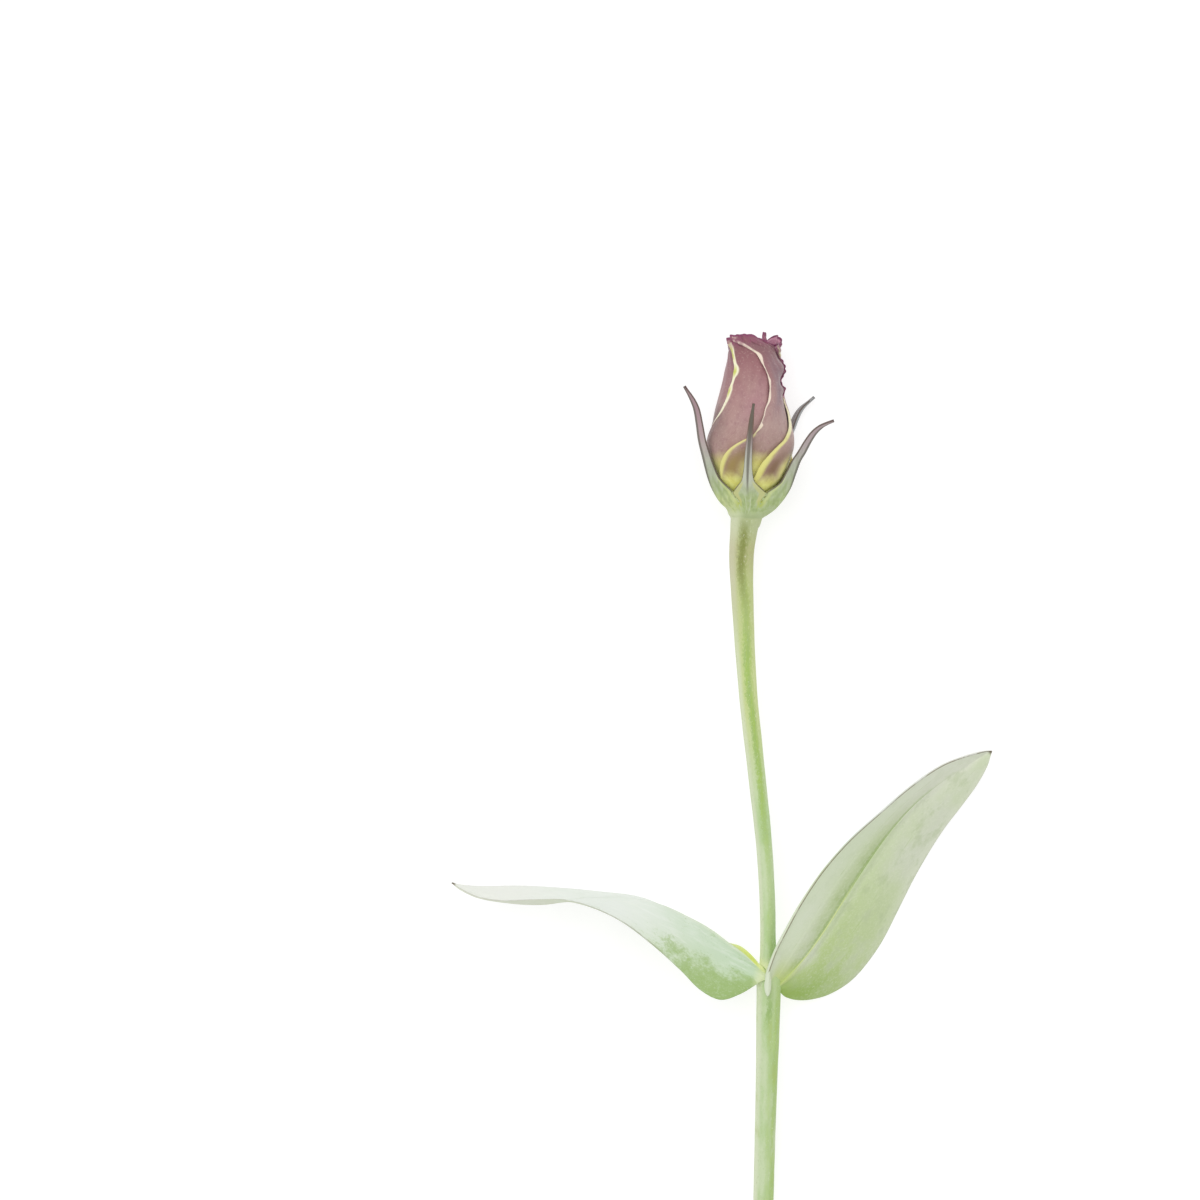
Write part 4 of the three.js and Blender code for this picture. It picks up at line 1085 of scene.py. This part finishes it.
def petal_sheet(sizes, number, outer):
    """One petal of a whorl, free on one side and tucked under its neighbour on the other."""
    pitch, ruffle = sizes.petal_pitch / MM, sizes.ruffle / MM
    free, span = (FREE_EDGES[number], PETAL_SPAN) if outer else (INNER_EDGE, INNER_SPAN)
    foot = OUTER_FOOT if outer else INNER_FOOT
    start = number * WHORL_TURN + (0 if outer else WHORL_TURN / 2)
    frill_share = FRILL_SHARES[number]
    crimp = CRIMP_SHARES[number] if outer else 1
    bm = grid(*(OUTER_GRID if outer else INNER_GRID))
    skin, blade, border, depth_layer = new_layers(bm, "skin", "blade", "border")
    for vert in bm.verts:
        across, share = vert.co.x, 1 - (1 - vert.co.y) ** 1.3
        waves = 0.8 * math.sin(across * 13 + number * 2.3) + 0.3 * math.sin(across * 31 + number * 4.1)
        waves += 1.3 * noise.noise(Vector((across * 14, number * 7.7, 0.4)))
        if outer:
            crest_turn = along(free, CREST_LEVEL) + along(span, CREST_LEVEL) * across
            crest = along(CRESTS[number], crest_turn) + 0.17 * crimp * waves - 0.5 * (1 - across) ** 8
        else:
            # The first inner petal has a small peg at its free corner.
            peg = smoothstep(0.5, 0.45, across) if number == 0 else 0
            crest = INNER_TOP + 0.15 * waves * (1 - peg) + 1.35 * peg
        height = lerp(foot, crest, share)
        gap = crest - height
        cover = along(span, height) * across
        edge = cover * math.radians(1) * along(BUD_PROFILE, height)
        free_turn = along(free, height) + cover
        if not outer and number == 0:
            free_turn -= 33 * smoothstep(30, 35, height)
        free_part = smoothstep(0.7, 0.4, across)
        depth = pitch * cover / WHORL_TURN + sizes.petal_thickness / MM / 2
        if outer:
            # The free edge stands out in a frill, or lies pressed onto the petal below.
            frill = along(FRILL, height) * bell(edge, 0, 1.3)
            fine = math.sin(height * 5.2 + number) * bell(edge, 0, 0.6)
            frill += 0.14 * fine * smoothstep(21, 25, height)
            press = 0.34 * bell(edge, 0, 1.8) * smoothstep(3, 6, height) * smoothstep(35.5, 33, height)
            depth += along(LIP_CURL, height) - frill * frill_share + press * (1 - frill_share)
            flare_height, flare_turn, reach, out = FLARES[number]
            flared = smoothstep(flare_height - 2.6, flare_height, height)
            depth -= out * bell(free_turn, flare_turn, reach) * flared
            if number == 0:
                # The first petal swells where the second one's frill stands out over it.
                depth -= 1.4 * bell(free_turn, 82, 22) * bell(height, 29.9, 1.7)
                depth -= 0.6 * bell(free_turn, 84, 18) * bell(height, 25.2, 0.8)
        else:
            depth += INNER_DEPTH - 0.9 * peg * smoothstep(33, 36.5, height)
        # The tips are crimped, and their very hems turn outwards.
        rim = smoothstep(3.6, 0.2, gap) * (1 - (0.85 * peg if not outer else 0))
        sway = math.sin(across * 19 + number * 1.7) + 0.4 * math.sin(across * 41 + number * 3.3)
        sway += 1.2 * noise.noise(Vector((across * 15, height * 0.35, number * 3.1)))
        depth -= rim * ruffle * crimp * sway * lerp(0.4, 1.0, free_part)
        depth -= 0.42 * smoothstep(0.85, 0.0, gap) * lerp(0.4, 1.0, free_part)
        depth += 0.04 * math.sin(across * 48 + number) * smoothstep(8, 20, height)
        vert[skin] = (edge, height, 0)
        blotch = max(bell(height, at, 1.1) for at in BLOTCHES) if outer and number == 4 else 0
        vert[blade] = (across, gap, blotch)
        wide = along(BORDERS[number], height) if outer else 0.4
        magenta = min(max(along(MAGENTA[number], height), 0), 1) if outer else 1
        vert[border] = (wide, along(BORDER_CREAM, height), magenta)
        thin = lerp(0.45, 1.0, smoothstep(0, 0.9, edge)) * lerp(0.5, 1.0, smoothstep(0, 1.2, gap))
        vert[depth_layer] = thin * (1 + 0.25 * bell(edge, 0.8, 0.4))
        vert.co = to_world(wrapped(height, start + free_turn, depth))
    return bm


class BuildPetals(bpy.types.Operator):
    """Build the outer and inner whorls of petals"""
    bl_idname = "lisianthus.petals"
    bl_label = "Petals"

    def execute(self, context):
        sizes, colours = context.scene.flower_sizes, context.scene.flower_colours
        looks = [
            {"tone": srgb(142, 112, 118), "edge_cream": srgb(247, 231, 212), "cool": 0.9,
             "patch_tone": srgb(156, 134, 74)},
            {"tone": srgb(166, 134, 130)},
            {"tone": srgb(170, 118, 134)},
            {"tone": srgb(122, 82, 104), "shade": 1.0},
            {"tone": srgb(150, 96, 104), "edge_cream": srgb(255, 251, 218), "shade": 0.9, "pink": 0.5},
        ]
        for number, look in enumerate(looks):
            for whorl in ("outer", "inner"):
                bm = petal_sheet(sizes, number, whorl == "outer")
                thicken(bm, sizes.petal_thickness)
                node = f"petal_{whorl}_{number + 1}"
                if whorl == "inner":
                    look = {"tone": srgb(176, 108, 134), "edge_cream": srgb(246, 228, 208)}
                material = petal_material(colours, f"{node}_mauve", **look)
                finish_piece(bm, f"{node}_ruffled", [node], material)
        return {"FINISHED"}


class BuildOrgans(bpy.types.Operator):
    """Build the pistil and the stamens inside the bud"""
    bl_idname = "lisianthus.organs"
    bl_label = "Pistil and stamens"

    def execute(self, context):
        colours = context.scene.flower_colours
        bm = bmesh.new()
        edges = add_outline(bm, PISTIL, False)[1]
        bmesh.ops.subdivide_edges(bm, edges=edges, cuts=3, smooth=0)
        spin_round(bm, bm.verts[:] + bm.edges[:])
        close_holes(bm)
        for aside in (-0.75, 0.75):
            tip = to_world(from_bloom(STIGMA_HEIGHT, aside, 90))
            bmesh.ops.create_uvsphere(bm, u_segments=20, v_segments=12, radius=STIGMA_RADIUS * MM,
                                      matrix=Matrix.Translation(tip))
        material = plain_organ_material("pistil_green", srgb(206, 214, 140), srgb(176, 194, 104), 0.5)
        finish_piece(bm, "pistil_smooth", ["pistil"], material)

        bm = bmesh.new()
        filament = Line([(distance, height, 0) for height, distance in FILAMENT])
        for number in range(PETALS):
            turn = number * WHORL_TURN
            for vert in add_sheet(bm, *FILAMENT_GRID):
                angle, share = vert.co.x * 2 * math.pi, vert.co.y
                at = filament(share)
                ahead = (filament(share + 0.01) - filament(share - 0.01)).normalized()
                out = FILAMENT_RADIUS * math.cos(angle)
                distance, height = at.x + out * ahead.y, at.y - out * ahead.x
                spread = math.degrees(FILAMENT_RADIUS * math.sin(angle) / distance)
                vert.co = to_world(from_bloom(height, distance, turn + spread))
            middle = to_world(from_bloom(*ANTHER_MIDDLE, turn))
            shape = Matrix.Translation(middle) @ BLOOM_TURN.to_4x4() @ Matrix.Diagonal(ANTHER_SIZE)
            bmesh.ops.create_uvsphere(bm, u_segments=16, v_segments=12, radius=MM, matrix=shape)
        bmesh.ops.remove_doubles(bm, verts=bm.verts, dist=1e-7)
        close_holes(bm)
        corners, sides = add_outline(bm, STAMEN_RING, True)
        spin_round(bm, corners + sides)
        material = plain_organ_material("stamen_pollen", colours.pollen, srgb(206, 170, 70), 0.75)
        finish_piece(bm, "stamens_pollen", ["stamens"], material)
        return {"FINISHED"}


class BuildStage(bpy.types.Operator):
    """Set the pale table, the soft light and the camera that looks straight down"""
    bl_idname = "lisianthus.stage"
    bl_label = "Stage"

    def execute(self, context):
        scene = context.scene
        bm = bmesh.new()
        bmesh.ops.create_grid(bm, x_segments=1, y_segments=1, size=TABLE_HALF)
        mesh = bpy.data.meshes.new("table_top")
        bm.to_mesh(mesh)
        bm.free()
        floor = bpy.data.objects.new("table_top", mesh)
        scene.collection.objects.link(floor)
        shader = Shader("table_pale", roughness=0.9, specular=0.1)
        grain = shader.noise(shader.place(), 60, 2)
        tone = shader.mix(grain.fade(0.3, 0.7), scene.flower_colours.floor, srgb(160, 160, 160))
        # The table glows like a light table, so that shadows on it stay faint.
        shader.surface["Emission Color"].default_value = WHITE
        shader.surface["Emission Strength"].default_value = TABLE_GLOW
        mesh.materials.append(shader.finish(tone))

        world = bpy.data.worlds.new("studio")
        world.use_nodes = True
        sky = world.node_tree.nodes["Background"].inputs
        sky["Color"].default_value = WHITE
        sky["Strength"].default_value = SKY_STRENGTH
        scene.world = world
        for name, place, size, power in LAMPS:
            light = bpy.data.lights.new(name, "AREA")
            light.shape = "SQUARE"
            light.size = size
            light.energy = power
            lamp = bpy.data.objects.new(name, light)
            lamp.location = place
            ahead = Vector(LAMPS_FACE) - Vector(place)
            lamp.rotation_euler = ahead.to_track_quat("-Z", "Y").to_euler()
            scene.collection.objects.link(lamp)

        camera = bpy.data.cameras.new("camera")
        camera.sensor_width = 36
        camera.lens = CAMERA_LENS
        camera.clip_end = 20
        viewer = bpy.data.objects.new("camera", camera)
        viewer.location = to_world(CAMERA_PLACE)
        scene.collection.objects.link(viewer)
        scene.camera = viewer
        scene.view_settings.view_transform = "Standard"
        return {"FINISHED"}


OPERATORS = (BuildStem, BuildLeaves, BuildCalyx, BuildPetals, BuildOrgans, BuildStage)


class FlowerPanel(bpy.types.Panel):
    """Lists the flower's pieces in the sidebar"""
    bl_idname = "VIEW3D_PT_lisianthus"
    bl_label = "Lisianthus"
    bl_space_type = "VIEW_3D"
    bl_region_type = "UI"
    bl_category = "Lisianthus"

    def draw(self, context):
        for operator in OPERATORS:
            self.layout.operator(operator.bl_idname)


CLASSES = (FlowerSizes, FlowerColours, *OPERATORS, FlowerPanel)


def register():
    for each in CLASSES:
        bpy.utils.register_class(each)
    bpy.types.Scene.flower_sizes = bpy.props.PointerProperty(type=FlowerSizes)
    bpy.types.Scene.flower_colours = bpy.props.PointerProperty(type=FlowerColours)


def unregister():
    del bpy.types.Scene.flower_colours
    del bpy.types.Scene.flower_sizes
    for each in reversed(CLASSES):
        bpy.utils.unregister_class(each)


def main():
    register()
    bpy.ops.lisianthus.stem()
    bpy.ops.lisianthus.leaves()
    bpy.ops.lisianthus.calyx()
    bpy.ops.lisianthus.petals()
    bpy.ops.lisianthus.organs()
    bpy.ops.lisianthus.stage()


if __name__ == "__main__":
    main()
